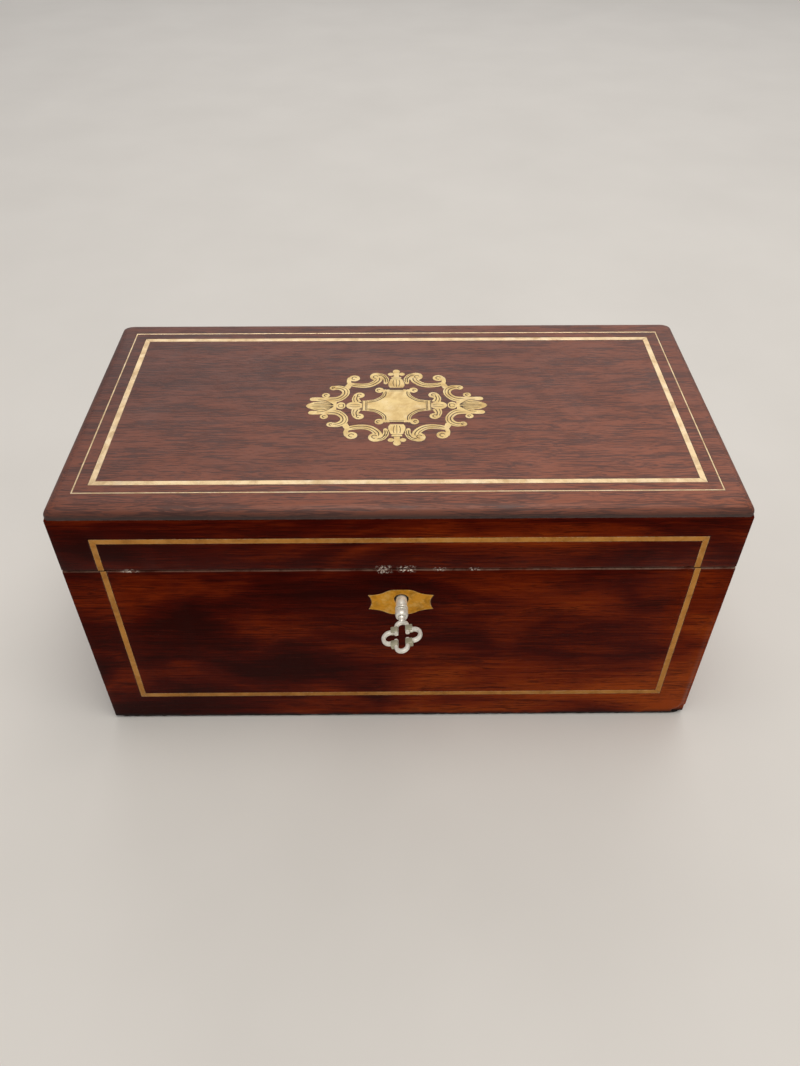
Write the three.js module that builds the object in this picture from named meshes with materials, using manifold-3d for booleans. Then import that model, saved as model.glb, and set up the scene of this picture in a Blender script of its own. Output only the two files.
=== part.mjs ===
// A rosewood tea caddy with brass stringing, a cut-brass medallion, a link-plate lock and its key.
// Millimetres. +X is to the right, -Y to the front and +Z up; the origin is the middle of the underside.
import * as THREE from 'three';
import { mergeVertices } from 'three/addons/utils/BufferGeometryUtils.js';
import Module from 'manifold-3d';

const wasm = await Module();
wasm.setup();

// ---------------------------------------------------------------- driving dimensions
const WIDTH = 270;
const DEPTH = 140;
const HEIGHT = 131;
const BOARD = 10; // carcase boards
const LAP = 1; // front and back boards lap over the ends of the side boards by this much
const GLUE = 0.05; // glue line between fixed pieces
const ROOM = 0.1; // clearance round fitted metalwork
const FELT = 1.5;
const BOTTOM = 8;
const JOINT_Z = 98.9; // hinge axis height, the middle of the joint between case and lid
const JOINT_GAP = 0.5;
const TOP_BOARD = 5;
const TOP_ROUND = 5; // how far in the rounded edge of the top reaches
const TOP_DROP = 3.8; // how far down it reaches

const STRING = 2.4; // width of the broad brass stringing
const THIN_LINE = 0.5; // width of the fine line outside it
const INLAY = 0.8; // thickness of the inlaid brass
const INLAY_FIT = 0.12; // clearance round inlaid brass
const BED = 0.05; // glue bed under inlaid brass
const FRONT_INSET = 14.6; // stringing to the box's left and right edges, on the front
const FRONT_TOP = 116;
const FRONT_BOTTOM = 16.3;
const CASE_SHIFT = 0.6; // the case's stringing lies this much further right than the lid's
const TOP_INSET = { x: 14.7, y: 15 }; // stringing to the box's edges, on the top
const LINE_INSET = { x: 9.3, y: 10 }; // fine line to the box's edges
const TOP_SHIFT = -0.4; // the top's brass lies a little left of the middle
const MEDALLION = { x: -0.8, y: -1.9 };

const LINER = 4; // linings and divider of the two compartments
const LINER_DROP = 20; // linings stop this far below the rim
const FOIL = 0.6;
const INNER_LID = 5;
const PLUG = 3;
const LINING = 2.5;

const HINGE = {
  x: 80, y: 67.7, length: 32, knuckle: 2.1, leaf: 1.2, leafFront: 60.6, middle: 5.5, pin: 1,
  swing: 0.25, // clearance round the knuckles
};
const CHAMFER = 50; // degrees, on each side of the joint: the lid stops at twice this

const KEY = {
  x: 0.7, z: 81.4, stem: 2.3, bore: 1.25, pipeEnd: 0.6, inner: -61.6,
  bit: 7, bitThick: 1.4, bitRoot: 1.5, bitFrom: -4.2, bitTo: -0.2,
  turned: -7, // degrees that the whole key stands turned in the lock
  bowTurned: -6, // and the bow is this much out of line with its bit
};
const LOCK = { half: 25, plate: 1.2, case: 21, wall: 0.8, front: -67, bottom: 69.9, link: 10 };

const W2 = WIDTH / 2;
const D2 = DEPTH / 2;
const INNER_X = W2 - BOARD;
const INNER_Y = D2 - BOARD;
const RIM = JOINT_Z - JOINT_GAP / 2;
const LID_RIM = JOINT_Z + JOINT_GAP / 2;
const LID_FRAME_TOP = HEIGHT - TOP_BOARD;
const FLOOR = FELT + BOTTOM;
const LINER_TOP = RIM - LINER_DROP;
const PAST = 1; // how far a cutter runs past the face it cuts

// ---------------------------------------------------------------- solids
const X = new THREE.Vector3(1, 0, 0);
const Y = new THREE.Vector3(0, 1, 0);
const Z = new THREE.Vector3(0, 0, 1);
// An outline's two axes and its depth, turned into the plane that it is drawn in.
const PLANES = {
  XY: new THREE.Matrix4(),
  XZ: new THREE.Matrix4().makeBasis(X, Z, Y.clone().negate()),
  YZ: new THREE.Matrix4().makeBasis(Y, Z, X),
};

// A closed three.js geometry as a solid that can be joined and cut.
function solidOf(geometry) {
  const bare = geometry.index ? geometry.toNonIndexed() : geometry.clone();
  bare.deleteAttribute('normal');
  bare.deleteAttribute('uv');
  const merged = mergeVertices(bare, 1e-4);
  const index = merged.index.array;
  const kept = [];
  for (let i = 0; i < index.length; i += 3) {
    const [a, b, c] = [index[i], index[i + 1], index[i + 2]];
    if (a !== b && b !== c && c !== a) kept.push(a, b, c);
  }
  const positions = merged.attributes.position.array;
  const build = (triangles) =>
    new wasm.Manifold(
      new wasm.Mesh({ numProp: 3, vertProperties: positions, triVerts: new Uint32Array(triangles) }),
    );
  const solid = build(kept);
  return solid.volume() < 0 ? build(kept.reverse()) : solid;
}

function geometryOf(solid) {
  const { vertProperties, triVerts } = solid.getMesh();
  const geometry = new THREE.BufferGeometry();
  geometry.setAttribute('position', new THREE.BufferAttribute(vertProperties, 3));
  geometry.setIndex(new THREE.BufferAttribute(triVerts, 1));
  const flat = geometry.toNonIndexed();
  flat.computeVertexNormals();
  return flat;
}

// asOriginal lets the flat faces that a join or a cut has split become one again.
const join = (solids) => solids.reduce((all, next) => all.add(next)).asOriginal();
const cut = (solid, cutters) => cutters.reduce((rest, cutter) => rest.subtract(cutter), solid).asOriginal();

function box(x0, x1, y0, y1, z0, z1) {
  const geometry = new THREE.BoxGeometry(x1 - x0, y1 - y0, z1 - z0);
  return solidOf(geometry.translate((x0 + x1) / 2, (y0 + y1) / 2, (z0 + z1) / 2));
}

const polygon = (points) => new THREE.Shape(points.map(([u, v]) => new THREE.Vector2(u, v)));

// An outline drawn in one plane and extruded from one height to another along the third axis.
function slab(outline, plane, from, to, curveSegments = 8) {
  const shape = Array.isArray(outline) ? polygon(outline) : outline;
  const geometry = new THREE.ExtrudeGeometry(shape, { depth: to - from, bevelEnabled: false, curveSegments });
  geometry.translate(0, 0, plane === 'XZ' ? -to : from);
  return solidOf(geometry.applyMatrix4(PLANES[plane]));
}

// A round bar along X, Y or Z, from one height to another, centred on the other two coordinates.
function bar(axis, radius, from, to, centre, segments = 16) {
  const geometry = new THREE.CylinderGeometry(radius, radius, to - from, segments);
  geometry.translate(0, (from + to) / 2, 0);
  if (axis === 'X') geometry.rotateZ(-Math.PI / 2).translate(0, centre[0], centre[1]);
  if (axis === 'Y') geometry.translate(centre[0], 0, centre[1]);
  if (axis === 'Z') geometry.rotateX(Math.PI / 2).translate(centre[0], centre[1], 0);
  return solidOf(geometry);
}

// A turned piece: radius against height, round the Z axis, pointing up or (flipped) down.
function turned(profile, segments = 16, flipped = false) {
  const geometry = new THREE.LatheGeometry(
    profile.map(([r, h]) => new THREE.Vector2(r, h)),
    segments,
  );
  geometry.rotateX(flipped ? -Math.PI / 2 : Math.PI / 2);
  return solidOf(geometry);
}

// ---------------------------------------------------------------- finishes
const FINISHES = {
  rosewood: { color: 0x7d5547, roughness: 0.42, metalness: 0 },
  polished: { color: 0x481306, roughness: 0.2, metalness: 0 },
  mahogany: { color: 0x5a2d18, roughness: 0.5, metalness: 0 },
  brassPale: { color: 0xd6c08e, roughness: 0.35, metalness: 0.9 },
  brassGolden: { color: 0xb9853f, roughness: 0.35, metalness: 0.9 },
  steel: { color: 0x8b8b88, roughness: 0.4, metalness: 0.9 },
  nickel: { color: 0xc9c4b8, roughness: 0.25, metalness: 0.95 },
  lead: { color: 0x7f8388, roughness: 0.6, metalness: 0.6 },
  velvet: { color: 0x4a0f18, roughness: 0.95, metalness: 0 },
  felt: { color: 0x1f1a17, roughness: 0.98, metalness: 0 },
  bone: { color: 0xe4dac0, roughness: 0.4, metalness: 0 },
};

const caddy = new THREE.Group();
const caseGroup = new THREE.Group();
const lidGroup = new THREE.Group();
const keyGroup = new THREE.Group();
caddy.add(caseGroup, lidGroup, keyGroup);

function place(group, name, solid, finish) {
  const mesh = new THREE.Mesh(geometryOf(solid), new THREE.MeshStandardMaterial(FINISHES[finish]));
  mesh.name = name;
  group.add(mesh);
  return mesh;
}

// ---------------------------------------------------------------- countersunk screws
const SCREW = { head: 1.6, rim: 0.2, shank: 0.8, sink: 0.9, length: 7, point: 1, slot: 0.4, slotDeep: 0.4 };

// Its top is at height 0 and it points down, or up if flipped; grown makes the hole that it fits.
function screwBody(grown, flipped) {
  const profile = [
    [0, grown],
    [SCREW.head + grown, grown],
    [SCREW.head + grown, -SCREW.rim],
    [SCREW.shank + grown, -SCREW.sink - grown],
    [SCREW.shank + grown, SCREW.point - SCREW.length],
    [0, -SCREW.length - grown],
  ];
  return turned(profile, 10, flipped);
}

function screw(flipped) {
  const reach = SCREW.head + PAST;
  const [low, high] = flipped ? [-PAST, SCREW.slotDeep] : [-SCREW.slotDeep, PAST];
  return cut(screwBody(0, flipped), [box(-reach, reach, -SCREW.slot / 2, SCREW.slot / 2, low, high)]);
}

const at = (solid, x, y, z) => solid.translate([x, y, z]);

// ---------------------------------------------------------------- carcase boards
const lapOutline = (side) => [
  [-W2, side * D2],
  [W2, side * D2],
  [W2, side * (D2 - LAP)],
  [INNER_X, side * (D2 - LAP)],
  [INNER_X, side * INNER_Y],
  [-INNER_X, side * INNER_Y],
  [-INNER_X, side * (D2 - LAP)],
  [-W2, side * (D2 - LAP)],
];

function sideBoard(side, low, high) {
  const [x0, x1] = side < 0 ? [-W2, -INNER_X - GLUE] : [INNER_X + GLUE, W2];
  const y = D2 - LAP - GLUE;
  return box(x0, x1, -y, y, low, high);
}

// ---------------------------------------------------------------- brass stringing
// Four mitred strips round a rectangle; a strip is named by the side that it lies on.
function mitredStrips(x, y0, y1, width) {
  const inX = x - width;
  const [in0, in1] = [y0 + width, y1 - width];
  const m = GLUE; // each mitre's glue line
  return {
    front: [[-x + m, y0], [x - m, y0], [inX - m, in0], [-inX + m, in0]],
    back: [[-x + m, y1], [x - m, y1], [inX - m, in1], [-inX + m, in1]],
    left: [[-x, y0 + m], [-x, y1 - m], [-inX, in1 - m], [-inX, in0 + m]],
    right: [[x, y0 + m], [x, y1 - m], [inX, in1 - m], [inX, in0 + m]],
  };
}

const FRONT_X = W2 - FRONT_INSET;
const frontStrips = mitredStrips(FRONT_X, FRONT_BOTTOM, FRONT_TOP, STRING);
const frontInlay = (outline) => slab(outline, 'XZ', -D2, INLAY - D2);

function frontStrip(name, low, high, shift) {
  return at(frontInlay(frontStrips[name]).intersect(box(-W2, W2, -D2 - PAST, D2, low, high)), shift, 0, 0);
}

function frontGrooves(shift) {
  const fit = INLAY_FIT;
  const deep = INLAY + BED - D2;
  const inner = FRONT_X - STRING - fit;
  const outer = FRONT_X + fit;
  const ring = box(-outer, outer, -D2 - PAST, deep, FRONT_BOTTOM - fit, FRONT_TOP + fit);
  const field = [-inner, inner, -D2 - 2 * PAST, deep + PAST];
  return at(ring.subtract(box(...field, FRONT_BOTTOM + STRING + fit, FRONT_TOP - STRING - fit)), shift, 0, 0);
}

// ---------------------------------------------------------------- escutcheon and keyhole
const ESCUTCHEON = {
  half: 13.5, end: 4.2, middle: 7.4, flat: 2.4, waist: 12.2, z: 79.6, thick: 1, shift: -0.2,
  crown: 4.6, // where the crown's curve pulls to
  knee: [6.6, 1.4], // where the crown meets the hollow: across, and below the crown
  hollow: [8.8, 0.3], // where the hollow pulls to: across, and above the corner
};
const KEYHOLE = { round: 3, slot: 1.7, below: 0.5 };

// A plate whose crowned middle falls away in hollows to its corners, with hollow ends.
function escutcheonOutline(grown) {
  const { half, end, middle, flat, waist, crown, knee, hollow } = ESCUTCHEON;
  const [x, e, m, w] = [half + grown, end + grown, middle + grown, waist + grown];
  const [kneeX, kneeZ] = [knee[0], m - knee[1]];
  const [pullX, pullZ] = [hollow[0], e + hollow[1]];
  const shape = new THREE.Shape();
  shape.moveTo(-flat, m);
  shape.lineTo(flat, m);
  shape.quadraticCurveTo(crown, m, kneeX, kneeZ);
  shape.quadraticCurveTo(pullX, pullZ, x, e);
  shape.quadraticCurveTo(2 * w - x, 0, x, -e);
  shape.quadraticCurveTo(pullX, -pullZ, kneeX, -kneeZ);
  shape.quadraticCurveTo(crown, -m, flat, -m);
  shape.lineTo(-flat, -m);
  shape.quadraticCurveTo(-crown, -m, -kneeX, -kneeZ);
  shape.quadraticCurveTo(-pullX, -pullZ, -x, -e);
  shape.quadraticCurveTo(x - 2 * w, 0, -x, e);
  shape.quadraticCurveTo(-pullX, pullZ, -kneeX, kneeZ);
  shape.quadraticCurveTo(-crown, m, -flat, m);
  return shape;
}

function escutcheonSlab(grown, y0, y1) {
  return at(slab(escutcheonOutline(grown), 'XZ', y0, y1, 6), KEY.x + ESCUTCHEON.shift, 0, ESCUTCHEON.z);
}

// Round hole for the stem with a slot below it for the bit.
function keyhole(y0, y1) {
  const { round, slot, below } = KEYHOLE;
  const slotCut = box(KEY.x - slot, KEY.x + slot, y0, y1, KEY.z - KEY.bit - below, KEY.z);
  return bar('Y', round, y0, y1, [KEY.x, KEY.z], 20).add(slotCut);
}

// ---------------------------------------------------------------- lock
const PLATE_Y = -INNER_Y - LOCK.plate; // front face of the lock's back plate
const PLATE_FOOT = LOCK.bottom - 0.9;
const SELVEDGE = { front: -67.6, screwX: 23.1, screwY: -64 };
const DRILL_PIN = { radius: 0.9, tip: -69 };
const LINK = { thick: 1.6, front: -65.6, back: -61.6, foot: 89.5, eyeLow: 91.2, eyeHigh: 94.9, rim: 0.8 };
const LINK_SLOT = { half: 1.2, front: -66.2 };
const linkXs = [KEY.x - LOCK.link, KEY.x + LOCK.link];
const selvedgeScrewXs = { left: KEY.x - SELVEDGE.screwX, right: KEY.x + SELVEDGE.screwX };

function lockPlate() {
  const [x0, x1] = [KEY.x - LOCK.half, KEY.x + LOCK.half];
  const back = box(x0, x1, PLATE_Y, -INNER_Y, PLATE_FOOT, RIM);
  const selvedge = box(x0, x1, SELVEDGE.front, -INNER_Y, RIM - LOCK.plate, RIM);
  const rooted = PLATE_Y + LOCK.plate / 2;
  const drillPin = bar('Y', DRILL_PIN.radius, DRILL_PIN.tip, rooted, [KEY.x, KEY.z], 12);
  const slots = linkXs.map((x) => {
    const [low, high] = [RIM - 2 * LOCK.plate, RIM + PAST];
    return box(x - LINK_SLOT.half, x + LINK_SLOT.half, LINK_SLOT.front, PLATE_Y, low, high);
  });
  return cut(join([back, selvedge, drillPin]), [...slots, ...selvedgeScrewHoles()]);
}

function lockCase() {
  const top = RIM - LOCK.plate - ROOM;
  const [x0, x1] = [KEY.x - LOCK.case, KEY.x + LOCK.case];
  const outer = box(x0, x1, LOCK.front, PLATE_Y - ROOM, LOCK.bottom, top);
  const w = LOCK.wall;
  const hollow = box(x0 + w, x1 - w, LOCK.front + w, PLATE_Y + PAST, LOCK.bottom + w, top + PAST);
  return cut(outer, [hollow, keyhole(LOCK.front - PAST, LOCK.front + 2 * PAST)]);
}

// One flat plate, measured from the key's axis: a bar with two hooks for the links, an arm down its right
// end and two teeth for the key's bit.
const BOLT = {
  left: -12, right: 19, low: 2.9, high: 5.8,
  arm: 12, armOuter: 15, foot: -5.4, footLow: -10.5, footHigh: -8.2,
  tooth: -5.3, teeth: [[-5.4, -2.9], [2.3, 4.6]],
  noseLow: 10.3, noseHigh: 13, behindLink: 1.6, hook: 4.5, riser: 2.9,
  half: 0.9, y: -63.6,
};

function lockBolt() {
  const plate = (x0, x1, z0, z1) => box(x0, x1, -BOLT.half, BOLT.half, z0, z1);
  const pieces = [
    plate(BOLT.left, BOLT.right, BOLT.low, BOLT.high),
    plate(BOLT.arm, BOLT.armOuter, BOLT.footLow, BOLT.high),
    plate(BOLT.foot, BOLT.armOuter, BOLT.footLow, BOLT.footHigh),
    ...BOLT.teeth.map(([x0, x1]) => plate(x0, x1, BOLT.footLow, BOLT.tooth)),
  ];
  for (const link of [-LOCK.link, LOCK.link]) {
    const nose = link + BOLT.behindLink;
    const riser = nose + BOLT.hook;
    pieces.push(plate(nose, riser + BOLT.riser, BOLT.noseLow, BOLT.noseHigh));
    pieces.push(plate(riser, riser + BOLT.riser, BOLT.low, BOLT.noseHigh));
  }
  return at(join(pieces), KEY.x, BOLT.y, KEY.z);
}

// A leaf spring between the lock's top and the bolt's bar.
function lockSpring() {
  const route = [[6, 14.7], [3.5, 15], [1.2, 14.1], [0.6, 11], [1.6, 8], [4, 6.5]];
  const [thick, halfWide] = [0.4, 0.8];
  const spring = ribbon(route, route.map(() => thick), 3, false);
  return at(slab(spring, 'XZ', BOLT.y - halfWide, BOLT.y + halfWide), KEY.x, 0, KEY.z);
}

// What the lock needs cut out of the front board: room for its case, and beds for its plate and selvedge.
function lockPocket() {
  const loose = 0.3;
  const pocket = (half, front, low) =>
    box(KEY.x - half, KEY.x + half, front, -INNER_Y + PAST, low, RIM + PAST);
  const bed = LOCK.half + GLUE;
  return [
    pocket(LOCK.case + loose, LOCK.front - loose, LOCK.bottom - loose),
    pocket(bed, PLATE_Y - GLUE, PLATE_FOOT - GLUE),
    pocket(bed, SELVEDGE.front - GLUE, RIM - LOCK.plate - GLUE),
  ];
}

// ---------------------------------------------------------------- links that hang from the lid
const STRIKER = { back: -60.4, screwX: 20 };
const strikerScrewXs = { left: KEY.x - STRIKER.screwX, right: KEY.x + STRIKER.screwX };

const strikerScrewHoles = () =>
  Object.values(strikerScrewXs).map((x) => at(screwBody(ROOM, true), x, SELVEDGE.screwY, LID_RIM));
const selvedgeScrewHoles = () =>
  Object.values(selvedgeScrewXs).map((x) => at(screwBody(ROOM, false), x, SELVEDGE.screwY, RIM));

function strikerPlate() {
  const [x0, x1] = [KEY.x - LOCK.half, KEY.x + LOCK.half];
  const plate = box(x0, x1, SELVEDGE.front, STRIKER.back, LID_RIM, LID_RIM + LOCK.plate);
  const links = linkXs.map((x) => {
    const [half, rooted] = [LINK.thick / 2, LID_RIM + LOCK.plate / 2];
    const loop = box(x - half, x + half, LINK.front, LINK.back, LINK.foot, rooted);
    const [eyeFront, eyeBack] = [LINK.front + LINK.rim, LINK.back - LINK.rim];
    return loop.subtract(box(x - LINK.thick, x + LINK.thick, eyeFront, eyeBack, LINK.eyeLow, LINK.eyeHigh));
  });
  return cut(join([plate, ...links]), strikerScrewHoles());
}

// ---------------------------------------------------------------- hinges
const hingeXs = { left: -HINGE.x, right: HINGE.x };
const axisYZ = [HINGE.y, JOINT_Z];
const LEAF_SCREW = { x: 10, y: 63.4 };

// What a hinge needs cut out of a board: room for the knuckles, a bed for the leaf and two screw holes.
function hingeCutters(centre, upper) {
  const half = HINGE.length / 2 + ROOM;
  const reach = half + 2 * ROOM;
  const room = bar('X', HINGE.knuckle + HINGE.swing, centre - reach, centre + reach, axisYZ);
  const [z0, z1] = upper
    ? [LID_RIM - PAST, LID_RIM + HINGE.leaf + GLUE]
    : [RIM - HINGE.leaf - GLUE, RIM + PAST];
  const bed = box(centre - half, centre + half, HINGE.leafFront - ROOM, HINGE.y, z0, z1);
  return [room, bed, ...leafScrewHoles(centre, upper)];
}

function leafScrewHoles(centre, upper) {
  const z = upper ? LID_RIM : RIM;
  return [-1, 1].map((side) => at(screwBody(ROOM, upper), centre + side * LEAF_SCREW.x, LEAF_SCREW.y, z));
}

function hingeLeaf(centre, upper) {
  const half = HINGE.length / 2;
  const m = HINGE.middle;
  const [z0, z1] = upper ? [LID_RIM, LID_RIM + HINGE.leaf] : [RIM - HINGE.leaf, RIM];
  const plate = box(centre - half, centre + half, HINGE.leafFront, HINGE.y, z0, z1);
  const round = (x0, x1, r) => bar('X', r, centre + x0, centre + x1, axisYZ);
  const past = half + PAST;
  const own = upper ? [[-m, m]] : [[-half, -m - ROOM], [m + ROOM, half]];
  const others = upper ? [[-past, -m], [m, past]] : [[-m - ROOM, m + ROOM]];
  const cleared = cut(plate, others.map(([a, b]) => round(a, b, HINGE.knuckle + HINGE.swing)));
  const joined = join([cleared, ...own.map(([a, b]) => round(a, b, HINGE.knuckle))]);
  return cut(joined, [round(-past, past, HINGE.pin + ROOM), ...leafScrewHoles(centre, upper)]);
}

// The chamfer along the back that lets the lid lean back; sign is -1 on the case and 1 on the lid.
function backChamfer(sign) {
  const run = D2 + PAST - HINGE.y;
  const rise = run * Math.tan(THREE.MathUtils.degToRad(CHAMFER));
  const points = [
    [HINGE.y - ROOM, JOINT_Z],
    [D2 + PAST, JOINT_Z + sign * (rise + ROOM)],
    [D2 + PAST, JOINT_Z - sign * PAST],
    [HINGE.y - ROOM, JOINT_Z - sign * PAST],
  ];
  return slab(points, 'YZ', -W2 - PAST, W2 + PAST);
}

// ---------------------------------------------------------------- medallion
// A band of varying width along a smooth curve, as a closed outline.
function ribbon(route, widths, steps = 2, round = true) {
  const curve = new THREE.SplineCurve(route.map(([u, v]) => new THREE.Vector2(u, v)));
  const count = (route.length - 1) * steps;
  const left = [];
  const right = [];
  for (let i = 0; i <= count; i++) {
    const t = i / count;
    const step = t * (widths.length - 1);
    const k = Math.min(Math.floor(step), widths.length - 2);
    const half = THREE.MathUtils.lerp(widths[k], widths[k + 1], step - k) / 2;
    const p = curve.getPoint(t);
    const along = curve.getTangent(t);
    left.push([p.x - along.y * half, p.y + along.x * half]);
    right.push([p.x + along.y * half, p.y - along.x * half]);
    if (i === count && round) left.push([p.x + along.x * half, p.y + along.y * half]);
  }
  return [...left, ...right.reverse()];
}

function ellipse(x, y, rx, ry) {
  return new THREE.Shape().absellipse(x, y, rx, ry, 0, 2 * Math.PI);
}

const QUARTERS = [[1, 1], [-1, 1], [-1, -1], [1, -1]];

// Scrolls and round lobes of one quarter, measured from the medallion's centre.
const SCROLLS = [
  // the outer C at the end, from its leaf to its volute
  {
    route: [[27.2, 13.8], [23.4, 14.4], [21.7, 10.2], [23.6, 5.9], [28, 4.1], [31, 5.2]],
    widths: [3.2, 2.8, 3.1, 3, 3, 2.6],
  },
  // the neck between the two outer scrolls
  { route: [[22, 12.4], [20.4, 16.8]], widths: [2.6, 2] },
  // the outer C along the side
  {
    route: [[21, 17.4], [18.8, 15.2], [14.2, 15.1], [10.1, 17.2], [8.1, 20.6]],
    widths: [2, 2.8, 3.1, 3.5, 4],
  },
  // its leaf, turning down beside the finial
  { route: [[9, 24], [6, 23.5], [4, 19.9], [4.5, 17.7]], widths: [2.6, 2.4, 2.4, 1.8] },
  // the scroll round the cartouche
  { route: [[13.4, 2.7], [8.8, 3.9], [5.3, 7.6], [5, 11.5]], widths: [2.2, 2.2, 2.3, 2] },
  // the stem of the lily's side petal
  { route: [[14.4, 2.2], [17.5, 4.6], [17, 7.8]], widths: [2.8, 2.2, 2] },
  // the side leaf of the end spray
  { route: [[36.1, 4.9], [33, 4.4], [30.4, 3.4]], widths: [2.8, 2.4, 3.4] },
];
const LOBES = [
  [27.4, 13.7, 1.7, 1.7],
  [30.9, 7.6, 1.9, 1.9],
  [19.2, 20.5, 2.8, 3.1],
  [9.7, 22.8, 2.7, 2.7],
  [7.4, 11.5, 2, 2],
  [16, 7.6, 1.9, 2.1],
  [18.2, 8.4, 1, 0.8],
  [18.6, 4.2, 1.1, 0.8],
  [36.2, 4.9, 1.5, 1.4],
  [2.5, 24.8, 1.4, 1.3],
];

// The pieces that lie across an axis of the medallion, each drawn whole. The cartouche has hollow corners.
const HOLLOW = { x: 12.5, y: 12, r: 8.4, steps: 5 };
const CARTOUCHE = { crown: 12.4, brow: 3.9 };
const COLLARS = { near: 12.2, far: 15, half: 3.75 };
const LILY = { x: 18, rx: 3.9, ry: 2 };
const BEAD = { x: 24, r: 2.4 };
const SPRAY = [[26, 3], [30, 3.3], [33.5, 2.7], [36.5, 2.1], [38.5, 1.1]];
const SPRAY_TIP = 39.3;
const VASE = [
  [1.7, 13.9], [3.2, 16.3], [3.1, 19.2], [1.7, 20.9], [2.3, 21.1], [2.3, 22.2], [1.6, 22.6], [1.6, 26],
];
const FINIAL = { y: 26.9, rx: 2.1, ry: 1.6 };

function cartouche(grown) {
  const r = HOLLOW.r - grown;
  const [crown, brow] = [CARTOUCHE.crown + grown, CARTOUCHE.brow + grown];
  const start = -Math.PI / 2;
  const end = Math.atan2(crown - HOLLOW.y, brow - HOLLOW.x) - 2 * Math.PI;
  const points = [];
  for (const [sx, sy] of QUARTERS) {
    const arc = [];
    for (let k = 0; k <= HOLLOW.steps; k++) {
      const a = THREE.MathUtils.lerp(start, end, k / HOLLOW.steps);
      arc.push([sx * (HOLLOW.x + r * Math.cos(a)), sy * (HOLLOW.y + r * Math.sin(a))]);
    }
    points.push(...(sx * sy < 0 ? arc.reverse() : arc));
  }
  return points;
}

function axisShapes(grown) {
  const shapes = [cartouche(grown)];
  const waist = COLLARS.half + grown;
  const [near, far] = [COLLARS.near - grown, COLLARS.far + grown];
  const spray = [...SPRAY.map(([u, v]) => [u, v + grown]), [SPRAY_TIP + grown, 0]];
  const sprayBack = SPRAY.map(([u, v]) => [u, -v - grown]).reverse();
  const vase = VASE.map(([u, v], i) => [u + grown, i ? v : v - grown]);
  const vaseBack = vase.map(([u, v]) => [-u, v]).reverse();
  for (const s of [-1, 1]) {
    shapes.push([[s * near, -waist], [s * far, -waist], [s * far, waist], [s * near, waist]]);
    shapes.push(ellipse(s * LILY.x, 0, LILY.rx + grown, LILY.ry + grown));
    shapes.push(ellipse(s * BEAD.x, 0, BEAD.r + grown, BEAD.r + grown));
    shapes.push([...spray, ...sprayBack].map(([u, v]) => [s * u, v]));
    shapes.push([...vase, ...vaseBack].map(([u, v]) => [u, s * v]));
    shapes.push(ellipse(0, s * FINIAL.y, FINIAL.rx + grown, FINIAL.ry + grown));
  }
  return shapes;
}

function medallionSolid(grown, low, high) {
  const pieces = axisShapes(grown).map((shape) => slab(shape, 'XY', low, high, 5));
  for (const [sx, sy] of QUARTERS) {
    for (const { route, widths } of SCROLLS) {
      const mirrored = route.map(([u, v]) => [sx * u, sy * v]);
      pieces.push(slab(ribbon(mirrored, widths.map((w) => w + 2 * grown)), 'XY', low, high));
    }
    for (const [x, y, rx, ry] of LOBES) {
      const lobe = ellipse(sx * x, sy * y, rx + grown, ry + grown);
      pieces.push(slab(lobe, 'XY', low, high, rx > 2 ? 5 : 4));
    }
  }
  return at(join(pieces), MEDALLION.x, MEDALLION.y, 0);
}

// ---------------------------------------------------------------- the case
const frontBoard = cut(slab(lapOutline(-1), 'XY', FELT, RIM), [
  frontGrooves(CASE_SHIFT),
  escutcheonSlab(ROOM, -D2 - PAST, ESCUTCHEON.thick + BED - D2),
  keyhole(-D2 - PAST, -INNER_Y + PAST),
  ...lockPocket(),
  ...selvedgeScrewHoles(),
]);
place(caseGroup, 'front_board', frontBoard, 'polished');

const backBoard = cut(slab(lapOutline(1), 'XY', FELT, RIM), [
  backChamfer(-1),
  ...Object.values(hingeXs).flatMap((x) => hingeCutters(x, false)),
]);
place(caseGroup, 'back_board', backBoard, 'rosewood');
place(caseGroup, 'left_side_board', cut(sideBoard(-1, FELT, RIM), [backChamfer(-1)]), 'rosewood');
place(caseGroup, 'right_side_board', cut(sideBoard(1, FELT, RIM), [backChamfer(-1)]), 'rosewood');

const snugX = INNER_X - GLUE;
const snugY = INNER_Y - GLUE;
place(caseGroup, 'bottom_board', box(-snugX, snugX, -snugY, snugY, FELT, FLOOR), 'mahogany');
const feltInset = 0.6;
const [feltX, feltY] = [W2 - feltInset, D2 - feltInset];
place(caseGroup, 'base_felt', box(-feltX, feltX, -feltY, feltY, 0, FELT), 'felt');

for (const [name, side] of [['front', -1], ['back', 1]]) {
  const ys = [side * snugY, side * (INNER_Y - LINER)].sort((a, b) => a - b);
  place(caseGroup, `liner_${name}`, box(-snugX, snugX, ...ys, FLOOR, LINER_TOP), 'mahogany');
}
const dividerY = INNER_Y - LINER - GLUE;
place(caseGroup, 'divider', box(-LINER / 2, LINER / 2, -dividerY, dividerY, FLOOR, LINER_TOP), 'mahogany');

for (const [name, side] of [['left', -1], ['right', 1]]) {
  const [near, far] = [LINER / 2 + ROOM, INNER_X - ROOM];
  const y = INNER_Y - LINER - ROOM;
  const [top, low] = [LINER_TOP - ROOM, FLOOR + ROOM];
  const span = (inset) => [near + inset, far - inset].map((x) => side * x).sort((a, b) => a - b);
  const outer = box(...span(0), -y, y, low, top);
  const hollow = box(...span(FOIL), FOIL - y, y - FOIL, low + FOIL, top + PAST);
  place(caseGroup, `tea_lead_${name}`, outer.subtract(hollow), 'lead');
}

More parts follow.
